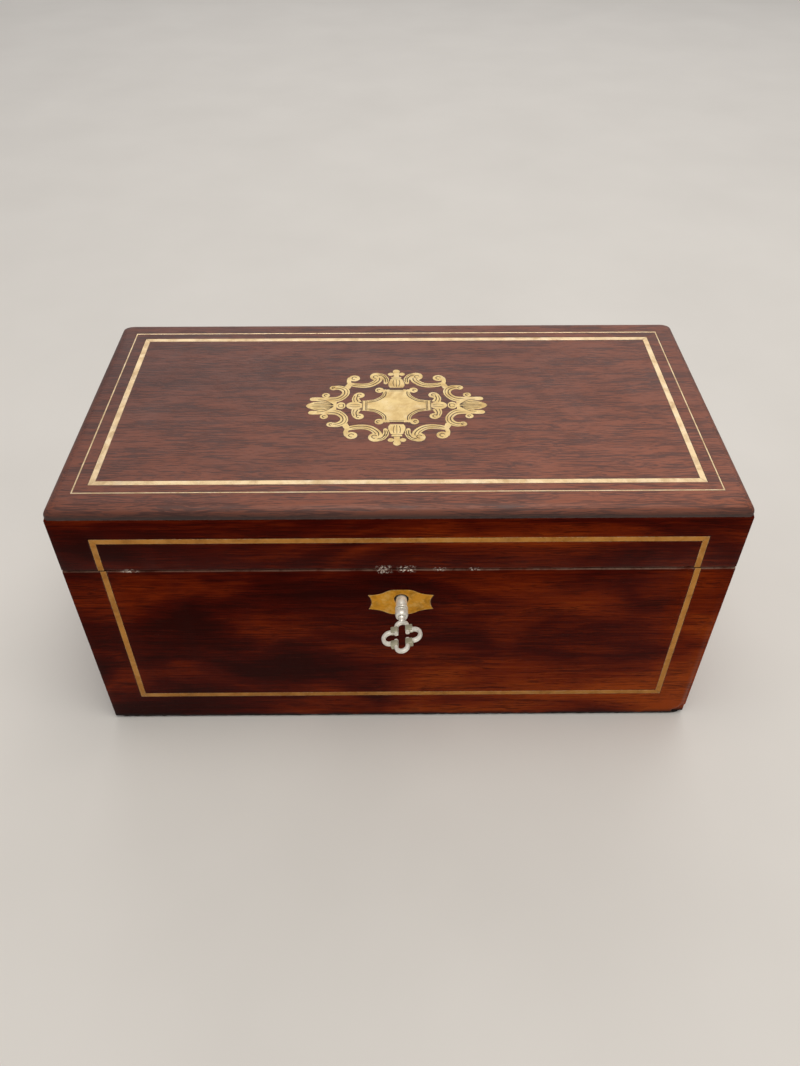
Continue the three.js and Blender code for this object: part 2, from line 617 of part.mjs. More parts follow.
place(caseGroup, 'front_band_left', frontStrip('left', FRONT_BOTTOM, RIM, CASE_SHIFT), 'brassGolden');
place(caseGroup, 'front_band_right', frontStrip('right', FRONT_BOTTOM, RIM, CASE_SHIFT), 'brassGolden');
place(caseGroup, 'front_band_bottom', frontStrip('front', 0, RIM, CASE_SHIFT), 'brassGolden');
const escutcheon = cut(escutcheonSlab(0, -D2, ESCUTCHEON.thick - D2), [keyhole(-D2 - PAST, -INNER_Y)]);
place(caseGroup, 'escutcheon', escutcheon, 'brassGolden');

place(caseGroup, 'lock_plate', lockPlate(), 'brassGolden');
place(caseGroup, 'lock_case', lockCase(), 'steel');
place(caseGroup, 'lock_spring', lockSpring(), 'steel');
place(caseGroup, 'lock_bolt', lockBolt(), 'brassGolden');
for (const [name, x] of Object.entries(selvedgeScrewXs)) {
  place(caseGroup, `lock_screw_${name}`, at(screw(false), x, SELVEDGE.screwY, RIM), 'brassGolden');
}

for (const [name, x] of Object.entries(hingeXs)) {
  const pinHalf = HINGE.length / 2 - ROOM;
  place(caseGroup, `case_hinge_leaf_${name}`, hingeLeaf(x, false), 'brassGolden');
  place(caseGroup, `hinge_pin_${name}`, bar('X', HINGE.pin, x - pinHalf, x + pinHalf, axisYZ), 'steel');
  place(lidGroup, `lid_hinge_leaf_${name}`, hingeLeaf(x, true), 'brassGolden');
  for (const [end, side] of [['outer', Math.sign(x)], ['inner', -Math.sign(x)]]) {
    const screwX = x + side * LEAF_SCREW.x;
    const lower = at(screw(false), screwX, LEAF_SCREW.y, RIM);
    const upper = at(screw(true), screwX, LEAF_SCREW.y, LID_RIM);
    place(caseGroup, `case_leaf_screw_${name}_${end}`, lower, 'brassGolden');
    place(lidGroup, `lid_leaf_screw_${name}_${end}`, upper, 'brassGolden');
  }
}

// ---------------------------------------------------------------- the inner lids
for (const [name, side] of [['left', -1], ['right', 1]]) {
  const low = LINER_TOP + ROOM;
  const top = low + INNER_LID;
  const [between, edge, plugIn] = [0.4, 0.6, 1.4]; // clearances at the middle, the boards and the foil
  const xs = (near, far) => [near, far].map((x) => side * x).sort((a, b) => a - b);
  const plate = box(...xs(between, INNER_X - edge), edge - INNER_Y, INNER_Y - edge, low, top);
  const plugY = INNER_Y - LINER - plugIn;
  const plug = box(...xs(LINER / 2 + plugIn, INNER_X - plugIn), -plugY, plugY, low - PLUG, low + PAST);
  const centre = (side * INNER_X) / 2;
  const tenon = 3;
  const hole = bar('Z', 2 + ROOM, top - tenon - 2 * ROOM, top + PAST, [centre, 0], 20);
  place(caseGroup, `inner_lid_${name}`, plate.add(plug).subtract(hole), 'mahogany');
  const profile = [
    [0, -tenon], [2, -tenon], [2, 0.1], [4.6, 0.1], [4.8, 0.7], [4.2, 1.3], [2.4, 1.9], [2, 3],
    [2.5, 4.1], [4.1, 5.2], [4.7, 6.8], [4.3, 8.3], [2.8, 9.4], [0, 9.8],
  ];
  place(caseGroup, `knob_${name}`, at(turned(profile, 16), centre, 0, top), 'bone');
}

// ---------------------------------------------------------------- the lid
const lidFront = cut(slab(lapOutline(-1), 'XY', LID_RIM, LID_FRAME_TOP), [
  frontGrooves(0),
  box(
    KEY.x - LOCK.half - GLUE,
    KEY.x + LOCK.half + GLUE,
    SELVEDGE.front - GLUE,
    STRIKER.back + GLUE,
    LID_RIM - PAST,
    LID_RIM + LOCK.plate + GLUE,
  ),
  ...strikerScrewHoles(),
]);
place(lidGroup, 'lid_front_board', lidFront, 'polished');
const lidBack = cut(slab(lapOutline(1), 'XY', LID_RIM, LID_FRAME_TOP), [
  backChamfer(1),
  ...Object.values(hingeXs).flatMap((x) => hingeCutters(x, true)),
]);
place(lidGroup, 'lid_back_board', lidBack, 'rosewood');
place(lidGroup, 'lid_left_board', cut(sideBoard(-1, LID_RIM, LID_FRAME_TOP), [backChamfer(1)]), 'rosewood');
place(lidGroup, 'lid_right_board', cut(sideBoard(1, LID_RIM, LID_FRAME_TOP), [backChamfer(1)]), 'rosewood');

const topX = W2 - TOP_INSET.x;
const topY = D2 - TOP_INSET.y;
const [lineX, lineY] = [W2 - LINE_INSET.x, D2 - LINE_INSET.y];
const topStrips = mitredStrips(topX, -topY, topY, STRING);
const inlayLow = HEIGHT - INLAY;

function rectangleRing(x, y, width, low, high) {
  const inner = box(width - x, x - width, width - y, y - width, low - PAST, high + PAST);
  return at(box(-x, x, -y, y, low, high).subtract(inner), TOP_SHIFT, 0, 0);
}

function topBoard() {
  const [x, y] = [W2 - TOP_ROUND, D2 - TOP_ROUND];
  const plan = [[-x, -y], [x, -y], [x, y], [-x, y]];
  const geometry = new THREE.ExtrudeGeometry(polygon(plan), {
    depth: TOP_BOARD,
    bevelSize: TOP_ROUND,
    bevelThickness: TOP_DROP,
    bevelSegments: 5,
  });
  geometry.translate(0, 0, HEIGHT - TOP_BOARD - TOP_DROP);
  const board = solidOf(geometry).intersect(box(-W2, W2, -D2, D2, LID_FRAME_TOP + GLUE, HEIGHT + PAST));
  const [low, high] = [inlayLow - BED, HEIGHT + PAST];
  const f = INLAY_FIT;
  return cut(board, [
    rectangleRing(topX + f, topY + f, STRING + 2 * f, low, high),
    rectangleRing(lineX + f, lineY + f, THIN_LINE + 2 * f, low, high),
    medallionSolid(f, low, high),
  ]);
}

place(lidGroup, 'lid_top_board', topBoard(), 'rosewood');
for (const [name, outline] of Object.entries(topStrips)) {
  const strip = at(slab(outline, 'XY', inlayLow, HEIGHT), TOP_SHIFT, 0, 0);
  place(lidGroup, `top_band_${name}`, strip, 'brassPale');
}
const fineLine = rectangleRing(lineX, lineY, THIN_LINE, inlayLow, HEIGHT);
place(lidGroup, 'top_fine_line', fineLine, 'brassPale');
place(lidGroup, 'medallion', medallionSolid(0, inlayLow, HEIGHT), 'brassPale');
place(lidGroup, 'lid_band_left', frontStrip('left', LID_RIM, HEIGHT, 0), 'brassGolden');
place(lidGroup, 'lid_band_right', frontStrip('right', LID_RIM, HEIGHT, 0), 'brassGolden');
place(lidGroup, 'lid_band_top', frontStrip('back', LID_RIM, HEIGHT, 0), 'brassGolden');

const liningGap = 0.4;
const [liningX, liningY] = [INNER_X - liningGap, INNER_Y - liningGap];
const lining = box(-liningX, liningX, -liningY, liningY, LID_FRAME_TOP - LINING, LID_FRAME_TOP);
place(lidGroup, 'lid_lining', lining, 'velvet');

place(lidGroup, 'striker_plate', strikerPlate(), 'brassGolden');
for (const [name, x] of Object.entries(strikerScrewXs)) {
  place(lidGroup, `striker_screw_${name}`, at(screw(true), x, SELVEDGE.screwY, LID_RIM), 'brassGolden');
}

// ---------------------------------------------------------------- the key, in its own frame
// Its shank lies along -Y from the origin, which is on the key's axis in the plane of the box's front.
// Its bow is two crossed rings, open in the middle as a cross, with a square block in each of its corners.
const BOW = {
  near: 11.9, far: 28.3, half: 8.3, lobe: 3.1, sideLobe: 3.7, wire: 1.6, thick: 2,
  blockFrom: 1.3, blockX: 4.5, blockY: 5,
};
const COLLAR = { from: 4.7, to: 10.2, bore: 1.5 };
const NECK = 1.6; // radius between the rings and the bow

// A slot-shaped slab with round ends, lying along X or Y.
function stadium(axis, halfLength, halfWidth, centreY, low, high) {
  const straight = halfLength - halfWidth;
  const [x, y] = axis === 'X' ? [straight, halfWidth] : [halfWidth, straight];
  const middle = box(-x, x, centreY - y, centreY + y, low, high);
  const ends = [-straight, straight].map((d) => {
    const centre = axis === 'X' ? [d, centreY] : [0, centreY + d];
    return bar('Z', halfWidth, low, high, centre, 16);
  });
  return join([middle, ...ends]);
}

function keyBow() {
  const middle = -(BOW.near + BOW.far) / 2;
  const long = (BOW.far - BOW.near) / 2;
  const t = BOW.thick / 2;
  const rings = [
    stadium('Y', long, BOW.lobe, middle, -t, t),
    stadium('X', BOW.half, BOW.sideLobe, middle, -t, t),
  ];
  const blocks = QUARTERS.map(([sx, sy]) => {
    const [x0, x1] = [sx * BOW.blockFrom, sx * BOW.blockX].sort((a, b) => a - b);
    const [y0, y1] = [sy * BOW.blockFrom, sy * BOW.blockY].sort((a, b) => a - b);
    return box(x0, x1, middle + y0, middle + y1, -t, t);
  });
  const { wire } = BOW;
  const arms = [
    stadium('Y', long - wire, BOW.lobe - wire, middle, -t - PAST, t + PAST),
    stadium('X', BOW.half - wire, BOW.sideLobe - wire, middle, -t - PAST, t + PAST),
  ];
  return cut(join([...rings, ...blocks]), arms);
}

function keyBlank() {
  const inner = D2 + KEY.inner; // how far the stem reaches behind the front face
  const stem = bar('Y', KEY.stem, -COLLAR.from + ROOM, inner, [0, 0], 20);
  const core = bar('Y', COLLAR.bore - 2 * ROOM, -COLLAR.to - PAST / 2, -COLLAR.from + PAST / 2, [0, 0], 14);
  const neck = bar('Y', NECK, -BOW.near - BOW.wire / 2, -COLLAR.to - ROOM, [0, 0], 16);
  const bitHalf = KEY.bitThick / 2;
  const bit = box(-bitHalf, bitHalf, inner + KEY.bitFrom, inner + KEY.bitTo, -KEY.bit, -KEY.bitRoot);
  const pipe = bar('Y', KEY.bore, KEY.pipeEnd, inner + PAST, [0, 0], 14);
  const bow = keyBow().rotate([0, KEY.bowTurned, 0]);
  return cut(join([stem, core, neck, bit, bow]), [pipe]);
}

// The turned rings and the vase above the plain stem, running on the key's core.
function keyCollar() {
  const r = COLLAR.bore;
  const profile = [
    [r, COLLAR.from], [2.35, COLLAR.from], [2.6, 5.1], [2.6, 5.6], [2.3, 5.9], [2.6, 6.3], [2.6, 6.8],
    [2.35, 7.2], [2.65, 7.6], [2.6, 8.6], [2.3, 9.6], [2.1, COLLAR.to], [r, COLLAR.to], [r, COLLAR.from],
  ];
  const geometry = new THREE.LatheGeometry(profile.map(([a, b]) => new THREE.Vector2(a, -b)), 14);
  return solidOf(geometry);
}

keyGroup.position.set(KEY.x, -D2, KEY.z);
keyGroup.rotation.y = THREE.MathUtils.degToRad(KEY.turned);
place(keyGroup, 'key', keyBlank(), 'nickel');
place(keyGroup, 'key_collar', keyCollar(), 'nickel');

export default caddy;
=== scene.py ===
from math import atan2, ceil, cos, hypot, pi, radians, sin

import bmesh
import bpy
from mathutils import Matrix, Vector, noise
from mathutils.geometry import delaunay_2d_cdt


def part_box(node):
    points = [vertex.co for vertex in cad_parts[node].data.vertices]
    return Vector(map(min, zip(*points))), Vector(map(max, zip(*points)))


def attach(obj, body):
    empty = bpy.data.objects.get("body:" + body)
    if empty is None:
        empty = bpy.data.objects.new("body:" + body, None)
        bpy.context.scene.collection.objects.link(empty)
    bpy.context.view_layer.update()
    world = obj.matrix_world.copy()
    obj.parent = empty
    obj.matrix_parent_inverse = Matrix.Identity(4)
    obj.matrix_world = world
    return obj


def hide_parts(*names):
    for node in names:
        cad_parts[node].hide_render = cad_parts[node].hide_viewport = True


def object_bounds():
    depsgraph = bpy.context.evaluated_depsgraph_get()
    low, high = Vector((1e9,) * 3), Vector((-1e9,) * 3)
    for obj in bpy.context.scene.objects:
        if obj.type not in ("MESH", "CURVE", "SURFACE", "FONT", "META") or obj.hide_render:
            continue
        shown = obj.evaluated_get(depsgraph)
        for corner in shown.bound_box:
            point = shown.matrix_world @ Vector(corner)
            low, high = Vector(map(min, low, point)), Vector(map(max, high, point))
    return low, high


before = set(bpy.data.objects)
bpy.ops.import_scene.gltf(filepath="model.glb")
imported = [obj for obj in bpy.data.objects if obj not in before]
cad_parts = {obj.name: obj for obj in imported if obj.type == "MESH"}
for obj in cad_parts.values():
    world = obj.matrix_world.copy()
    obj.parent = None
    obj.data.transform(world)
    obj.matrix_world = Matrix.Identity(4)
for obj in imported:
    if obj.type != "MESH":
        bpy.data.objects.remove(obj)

# A rosewood tea caddy inlaid with brass. Metres, in the row frame: the front faces -Y and the underside
# lies at height 0. Lengths below are in millimetres times MM.
MM = 0.001
cad_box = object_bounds()
HIGH = cad_box[1]

CASE_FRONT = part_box("front_board")
LID_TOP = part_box("lid_top_board")
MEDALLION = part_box("medallion")
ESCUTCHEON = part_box("escutcheon")
FRONT = CASE_FRONT[0].y
JOINT = 98.9
SMOOTH_BELOW = radians(32)

INLAY_TOP = MEDALLION[1].z
INLAY_DEEP = MEDALLION[1].z - MEDALLION[0].z
INLAY_FIT = 0.12 * MM
FINE_LINE = 0.5 * MM
MIDDLE = (MEDALLION[0] + MEDALLION[1]) / 2


# ---------------------------------------------------------------- building shader trees
def srgb(red, green, blue):
    """A colour given from 0 to 255 as the shaders take it."""
    def linear(c):
        c /= 255
        return c / 12.92 if c <= 0.04045 else ((c + 0.055) / 1.055) ** 2.4

    return (linear(red), linear(green), linear(blue), 1.0)


class Tree:
    """A shader tree being built: each call adds one node, links what feeds it and gives back its output."""

    def __init__(self, nodes, links):
        self.nodes = nodes
        self.links = links

    def put(self, socket, value):
        if isinstance(value, bpy.types.NodeSocket):
            self.links.new(value, socket)
        elif value is not None:
            socket.default_value = value

    def node(self, kind, inputs=None, **settings):
        made = self.nodes.new(kind)
        for key, value in settings.items():
            setattr(made, key, value)
        for key, value in (inputs or {}).items():
            self.put(made.inputs[key], value)
        return made

    def math(self, operation, first, second=None):
        made = self.node("ShaderNodeMath", operation=operation)
        self.put(made.inputs[0], first)
        self.put(made.inputs[1], second)
        return made.outputs[0]

    def vector(self, operation, first, second=None):
        made = self.node("ShaderNodeVectorMath", operation=operation)
        self.put(made.inputs[0], first)
        self.put(made.inputs[1], second)
        return made.outputs["Value" if operation == "DOT_PRODUCT" else "Vector"]

    def scaled(self, position, scale):
        made = self.node("ShaderNodeVectorMath", {"Scale": scale}, operation="SCALE")
        self.put(made.inputs[0], position)
        return made.outputs["Vector"]

    def times(self, first, second):
        return self.math("MULTIPLY", first, second)

    def weighed(self, first, first_share, second, second_share):
        """Some of one value and some of another, added up."""
        return self.math("ADD", self.times(first, first_share), self.times(second, second_share))

    def noise(self, position, scale=1.0, detail=2.0, roughness=0.5, distortion=0.0):
        inputs = {"Vector": position, "Scale": scale, "Detail": detail}
        inputs |= {"Roughness": roughness, "Distortion": distortion}
        return self.node("ShaderNodeTexNoise", inputs).outputs[0]

    def remap(self, value, low, high, new_low=0.0, new_high=1.0):
        inputs = {"Value": value, "From Min": low, "From Max": high, "To Min": new_low, "To Max": new_high}
        return self.node("ShaderNodeMapRange", inputs).outputs[0]

    def mix(self, factor, first, second):
        made = self.node("ShaderNodeMix", data_type="RGBA", blend_type="MIX")
        self.put(made.inputs[0], factor)
        self.put(made.inputs[6], first)
        self.put(made.inputs[7], second)
        return made.outputs[2]

    def over(self, colour, mask, share, paint):
        """The colour with a share of a paint laid over it where the mask is."""
        return self.mix(self.times(mask, share), colour, paint)

    def ramp(self, value, *stops):
        made = self.node("ShaderNodeValToRGB", {"Fac": value})
        elements = made.color_ramp.elements
        while len(elements) < len(stops):
            elements.new(0.5)
        for element, (place, colour) in zip(elements, stops):
            element.position = place
            element.color = colour
        return made.outputs["Color"]

    def split(self, position):
        return self.node("ShaderNodeSeparateXYZ", {"Vector": position}).outputs

    def joined(self, x, y, z):
        return self.node("ShaderNodeCombineXYZ", {"X": x, "Y": y, "Z": z}).outputs[0]

    def bump(self, height, distance, strength):
        inputs = {"Height": height, "Distance": distance, "Strength": strength}
        return self.node("ShaderNodeBump", inputs).outputs[0]

    def group(self, shared, **inputs):
        made = self.node("ShaderNodeGroup", node_tree=shared)
        for key, value in inputs.items():
            self.put(made.inputs[key.replace("_", " ")], value)
        return made.outputs


def shared_group(name, inputs, outputs):
    """An empty node group with named sockets, and its tree, its inputs and its output node."""
    group = bpy.data.node_groups.new(name, "ShaderNodeTree")
    kinds = {"vector": "NodeSocketVector", "number": "NodeSocketFloat"}
    for label, kind, default in inputs:
        socket = group.interface.new_socket(name=label, in_out="INPUT", socket_type=kinds[kind])
        if default is not None:
            socket.default_value = default
    for label, kind in outputs:
        group.interface.new_socket(name=label, in_out="OUTPUT", socket_type=kinds[kind])
    tree = Tree(group.nodes, group.links)
    return group, tree, tree.node("NodeGroupInput").outputs, tree.node("NodeGroupOutput").inputs


# ---------------------------------------------------------------- effects that several finishes share
def make_wood_grain():
    """Broad figure, fine streaks and short dark pores. The grain runs along the first axis of Position."""
    group, tree, given, wanted = shared_group(
        "Wood grain",
        [("Position", "vector", None), ("Waviness", "number", 2.0), ("Pore Density", "number", 0.5)],
        [("Figure", "number"), ("Streaks", "number"), ("Pores", "number")],
    )
    position = given["Position"]
    sway = tree.noise(tree.vector("MULTIPLY", position, (0.03, 0.06, 0.06)), detail=2)
    shift = tree.times(tree.math("SUBTRACT", sway, 0.5), given["Waviness"])
    swayed = tree.vector("ADD", position, tree.joined(0.0, shift, shift))

    def stretched(along, across, **kinds):
        return tree.noise(tree.vector("MULTIPLY", swayed, (along, across, across)), **kinds)

    figure = stretched(0.009, 0.055, detail=3, distortion=0.4)
    streaks = stretched(0.03, 0.85, detail=5, roughness=0.68)
    crowding = tree.times(given["Pore Density"], stretched(0.03, 0.16, detail=2))
    threshold = tree.math("SUBTRACT", 0.76, crowding)
    coarse = tree.remap(tree.math("SUBTRACT", stretched(0.06, 1.6, detail=2), threshold), 0.0, 0.07)
    fine = tree.remap(tree.math("SUBTRACT", stretched(0.16, 3.4, detail=2), threshold), 0.0, 0.07)
    tree.put(wanted["Figure"], figure)
    tree.put(wanted["Streaks"], streaks)
    tree.put(wanted["Pores"], tree.math("MAXIMUM", coarse, fine))
    return group


def make_edge_wear_and_highlight():
    """Where corners have rubbed, and where edges carry painted highlights and sheen: 0 on the flats and up to
    1 on the edges, broken up by noise.
    """
    group, tree, given, wanted = shared_group(
        "Edge wear and highlight",
        [("Position", "vector", None), ("Reach", "number", 0.0006), ("Break Up", "number", 0.15)],
        [("Wear", "number")],
    )
    rounded = tree.node("ShaderNodeBevel", {"Radius": given["Reach"]}, samples=4).outputs[0]
    flat = tree.node("ShaderNodeNewGeometry").outputs["Normal"]
    edge = tree.math("SUBTRACT", 1.0, tree.vector("DOT_PRODUCT", rounded, flat))
    broken = tree.noise(tree.scaled(given["Position"], given["Break Up"]), detail=4, roughness=0.7)
    mask = tree.times(tree.remap(edge, 0.01, 0.22), tree.remap(broken, 0.42, 0.62))
    tree.put(wanted["Wear"], mask)
    return group


def make_scratches():
    """Hairline scratches in two directions, and soft smudges from handling."""
    group, tree, given, wanted = shared_group(
        "Scratches",
        [("Position", "vector", None), ("Density", "number", 0.5)],
        [("Scratches", "number"), ("Smudges", "number")],
    )
    lines = None
    for turn, stretch in ((0.35, (0.02, 0.5, 0.5)), (-0.9, (0.03, 0.4, 0.4))):
        turned = tree.node(
            "ShaderNodeMapping",
            {"Vector": given["Position"], "Rotation": (turn, turn * 0.7, turn), "Scale": stretch},
        ).outputs[0]
        cells = tree.node("ShaderNodeTexVoronoi", {"Vector": turned}, feature="DISTANCE_TO_EDGE").outputs[0]
        line = tree.remap(cells, 0.0, 0.012, 1.0, 0.0)
        gate = tree.noise(turned, scale=1.7, detail=1)
        bar = tree.math("SUBTRACT", 0.78, tree.times(given["Density"], 0.3))
        kept = tree.math("GREATER_THAN", gate, bar)
        line = tree.times(line, kept)
        lines = line if lines is None else tree.math("MAXIMUM", lines, line)
    smudges = tree.noise(given["Position"], scale=0.045, detail=4, roughness=0.6, distortion=0.6)
    tree.put(wanted["Scratches"], lines)
    tree.put(wanted["Smudges"], smudges)
    return group


def make_brass_patina():
    """Brown and whitish patches and pits on old brass."""
    group, tree, given, wanted = shared_group(
        "Brass patina",
        [("Position", "vector", None), ("Patch Size", "number", 6.0)],
        [("Tarnish", "number"), ("Bloom", "number"), ("Pits", "number")],
    )
    each = tree.math("DIVIDE", 1.0, given["Patch Size"])
    broad = tree.scaled(given["Position"], each)
    tarnish = tree.remap(tree.noise(broad, detail=5, roughness=0.65, distortion=0.5), 0.42, 0.68)
    aside = tree.vector("ADD", broad, (7.3, 2.1, 4.4))
    bloom = tree.remap(tree.noise(aside, detail=4, roughness=0.7), 0.5, 0.7)
    pits = tree.remap(tree.noise(given["Position"], scale=2.6, detail=3, roughness=0.6), 0.62, 0.74)
    tree.put(wanted["Tarnish"], tarnish)
    tree.put(wanted["Bloom"], bloom)
    tree.put(wanted["Pits"], pits)
    return group


WOOD_GRAIN = make_wood_grain()
EDGE_WEAR_AND_HIGHLIGHT = make_edge_wear_and_highlight()
SCRATCHES = make_scratches()
BRASS_PATINA = make_brass_patina()


# ---------------------------------------------------------------- finishes
class Finish(Tree):
    """A material with one Principled shader, and the place on the piece in millimetres."""

    def __init__(self, name):
        self.material = bpy.data.materials.new(name)
        self.material.use_nodes = True
        tree = self.material.node_tree
        super().__init__(tree.nodes, tree.links)
        self.shader = tree.nodes["Principled BSDF"]
        own = self.node("ShaderNodeTexCoord").outputs["Object"]
        self.place = self.vector("MULTIPLY", own, (1 / MM, 1 / MM, 1 / MM))

    def along(self, axis):
        """The place with the grain's direction first."""
        x, y, z = self.split(self.place)
        order = {"X": (x, y, z), "Y": (y, x, z), "Z": (z, x, y)}[axis]
        return self.joined(*order)

    def set(self, **sockets):
        for label, value in sockets.items():
            self.put(self.shader.inputs[label.replace("_", " ")], value)

    # The edges: used for rubbed wear, and in some finishes for painted highlights and sheen.
    def wear(self, reach, break_up):
        return self.group(EDGE_WEAR_AND_HIGHLIGHT, Position=self.place, Reach=reach, Break_Up=break_up)["Wear"]


def satin_rosewood():
    """The top: red-brown with fine dark wavy pores, its polish gone dull and greyer towards the edges, partly
    from wear and partly as painted sheen. Painted light makes it warmer towards the front and right, and
    painted shade darkens its rolled edge.
    """
    finish = Finish("satin_rosewood")
    grain = finish.group(WOOD_GRAIN, Position=finish.along("X"), Waviness=4.0, Pore_Density=0.46)
    marks = finish.group(SCRATCHES, Position=finish.place, Density=0.25)
    x, y, z = finish.split(finish.place)
    tone = finish.weighed(grain["Figure"], 0.4, grain["Streaks"], 0.6)
    colour = finish.ramp(
        tone,
        (0.36, srgb(80, 42, 32)),
        (0.5, srgb(92, 48, 35)),
        (0.6, srgb(102, 53, 38)),
        (0.72, srgb(116, 61, 41)),
    )
    # Painted light: the top is painted warmer towards the right and the front, standing in for how the light
    # falls across it.
    rightwards = finish.remap(x, -140.0, 140.0, 0.0, 0.5)
    painted_warmth_front_right = finish.math("ADD", rightwards, finish.remap(y, 20.0, -72.0, 0.0, 0.35))
    colour = finish.mix(painted_warmth_front_right, colour, srgb(146, 78, 49))
    colour = finish.over(colour, grain["Pores"], 0.7, srgb(52, 26, 22))
    # Painted shade: the rolled edge is painted darker down its side, near black where it meets the lid front.
    below = finish.remap(z, HIGH.z / MM - 0.3, HIGH.z / MM - 4.2)
    colour = finish.over(colour, below, 0.85, srgb(24, 12, 12))
    # Partly real wear and partly painted sheen: the rubbed edges are painted greyer.
    rubbed = finish.wear(1.2 * MM, 0.3)
    colour = finish.over(colour, rubbed, 0.35, srgb(132, 104, 92))
    height = finish.math("SUBTRACT", finish.times(grain["Streaks"], 0.3), grain["Pores"])
    roughness = finish.remap(marks["Smudges"], 0.3, 0.7, 0.4, 0.52)
    finish.set(Base_Color=colour, Roughness=roughness, Specular_IOR_Level=0.42)
    finish.set(Normal=finish.bump(height, 0.04 * MM, 0.7))
    return finish.material


def polished_rosewood(name, grain_axis, glow, across=0.04, rim=None):
    """Near-black maroon polish with red-brown patches where light gets through, and hairline scratches.
    Painted light makes it lighter towards the right, and it is darker in patches along its foot.
    """
    finish = Finish(name)
    grain = finish.group(WOOD_GRAIN, Position=finish.along(grain_axis), Waviness=3.0, Pore_Density=0.36)
    marks = finish.group(SCRATCHES, Position=finish.place, Density=0.22)
    x, _, z = finish.split(finish.place)
    broad = finish.vector("MULTIPLY", finish.place, (0.013, 0.013, 0.03))
    patches = finish.noise(broad, detail=3, distortion=0.7)
    # Painted light: the polish is painted lighter towards the right, most on the front, standing in for how
    # the light falls across it.
    right = finish.remap(x, -140.0, 150.0, 0.01 - across / 2, 0.01 + across / 2)
    foot_glow = finish.remap(z, 70.0, 0.0, 0.0, 0.07)
    lit = finish.weighed(patches, 0.72, grain["Streaks"], 0.28)
    lit = finish.math("ADD", finish.math("ADD", lit, right), finish.math("ADD", foot_glow, glow))
    colour = finish.ramp(
        lit,
        (0.4, srgb(38, 4, 2)),
        (0.5, srgb(66, 10, 2)),
        (0.6, srgb(104, 31, 4)),
        (0.72, srgb(142, 58, 11)),
    )
    colour = finish.over(colour, grain["Pores"], 0.6, srgb(30, 5, 3))
    rubbed = finish.wear(0.7 * MM, 0.35)
    colour = finish.over(colour, rubbed, 0.6, srgb(122, 92, 80))
    colour = finish.over(colour, marks["Scratches"], 0.3, srgb(120, 84, 72))
    # Darker in patches along the foot of each board.
    foot = finish.remap(z, 4.2, 1.6)
    darker_at_foot = finish.times(foot, finish.remap(marks["Smudges"], 0.35, 0.5))
    colour = finish.mix(darker_at_foot, colour, srgb(16, 12, 12))
    if rim:
        colour = joint_wear(finish, colour, rim)
    roughness = finish.math("ADD", finish.remap(marks["Smudges"], 0.3, 0.7, 0.14, 0.26),
                            finish.times(rubbed, 0.35))
    height = finish.math("SUBTRACT", 0.0, finish.math("ADD", grain["Pores"], marks["Scratches"]))
    finish.set(Base_Color=colour, Roughness=roughness)
    finish.set(Specular_IOR_Level=0.07, Specular_Tint=srgb(255, 90, 30))
    finish.set(Normal=finish.bump(height, 0.012 * MM, 0.6))
    return finish.material


# The chips along the joint: how far right of the middle, half the width, and the height.
CHIPS = ((-6.2, 3.8, 2.6), (2.6, 4.2, 2.2), (16.0, 3.0, 1.2), (30.0, 3.0, 1.0), (-108.0, 4.0, 1.1))


def joint_wear(finish, colour, rim):
    """Where the lid meets the case: the arris rubbed grey, and whitish chips in a few places."""
    x, y, z = finish.split(finish.place)
    away = finish.math("ABSOLUTE", finish.math("SUBTRACT", z, rim))
    outer = finish.remap(y, FRONT / MM + 0.4, FRONT / MM + 1.1, 1.0, 0.0)
    broken = finish.noise(finish.place, scale=0.11, detail=4, roughness=0.7)
    line = finish.times(finish.remap(away, 1.0, 0.5), finish.remap(broken, 0.4, 0.56, 0.25, 1.0))
    below = finish.math("LESS_THAN", z, rim)
    line = finish.times(line, finish.math("ADD", finish.times(below, 0.75), 0.2))
    line = finish.times(line, finish.remap(x, -60.0, 60.0, 0.55, 1.0))
    colour = finish.over(colour, line, outer, srgb(132, 104, 88))
    rough = finish.noise(finish.place, scale=0.9, detail=4, roughness=0.75)
    for centre, half, tall in CHIPS:
        near = finish.remap(finish.math("ABSOLUTE", finish.math("SUBTRACT", x, centre)), half, half * 0.4)
        close = finish.remap(away, tall, tall * 0.3)
        spot = finish.times(finish.times(near, close), finish.remap(rough, 0.52, 0.58))
        colour = finish.over(colour, spot, outer, srgb(238, 224, 208))
    return colour


def mahogany(name, grain_axis):
    """Plain straight-grained inside wood, oiled but not polished."""
    finish = Finish(name)
    grain = finish.group(WOOD_GRAIN, Position=finish.along(grain_axis), Waviness=1.2, Pore_Density=0.5)
    marks = finish.group(SCRATCHES, Position=finish.place, Density=0.3)
    tone = finish.weighed(grain["Figure"], 0.5, grain["Streaks"], 0.5)
    colour = finish.ramp(
        tone,
        (0.36, srgb(74, 34, 18)),
        (0.5, srgb(112, 56, 30)),
        (0.66, srgb(146, 82, 46)),
    )
    colour = finish.over(colour, grain["Pores"], 0.55, srgb(42, 18, 10))
    rubbed = finish.wear(0.8 * MM, 0.3)
    colour = finish.over(colour, rubbed, 0.5, srgb(172, 122, 84))
    finish.set(Base_Color=colour, Roughness=finish.remap(marks["Smudges"], 0.3, 0.7, 0.4, 0.58))
    finish.set(Normal=finish.bump(finish.math("SUBTRACT", 0.0, grain["Pores"]), 0.04 * MM, 0.6))
    return finish.material


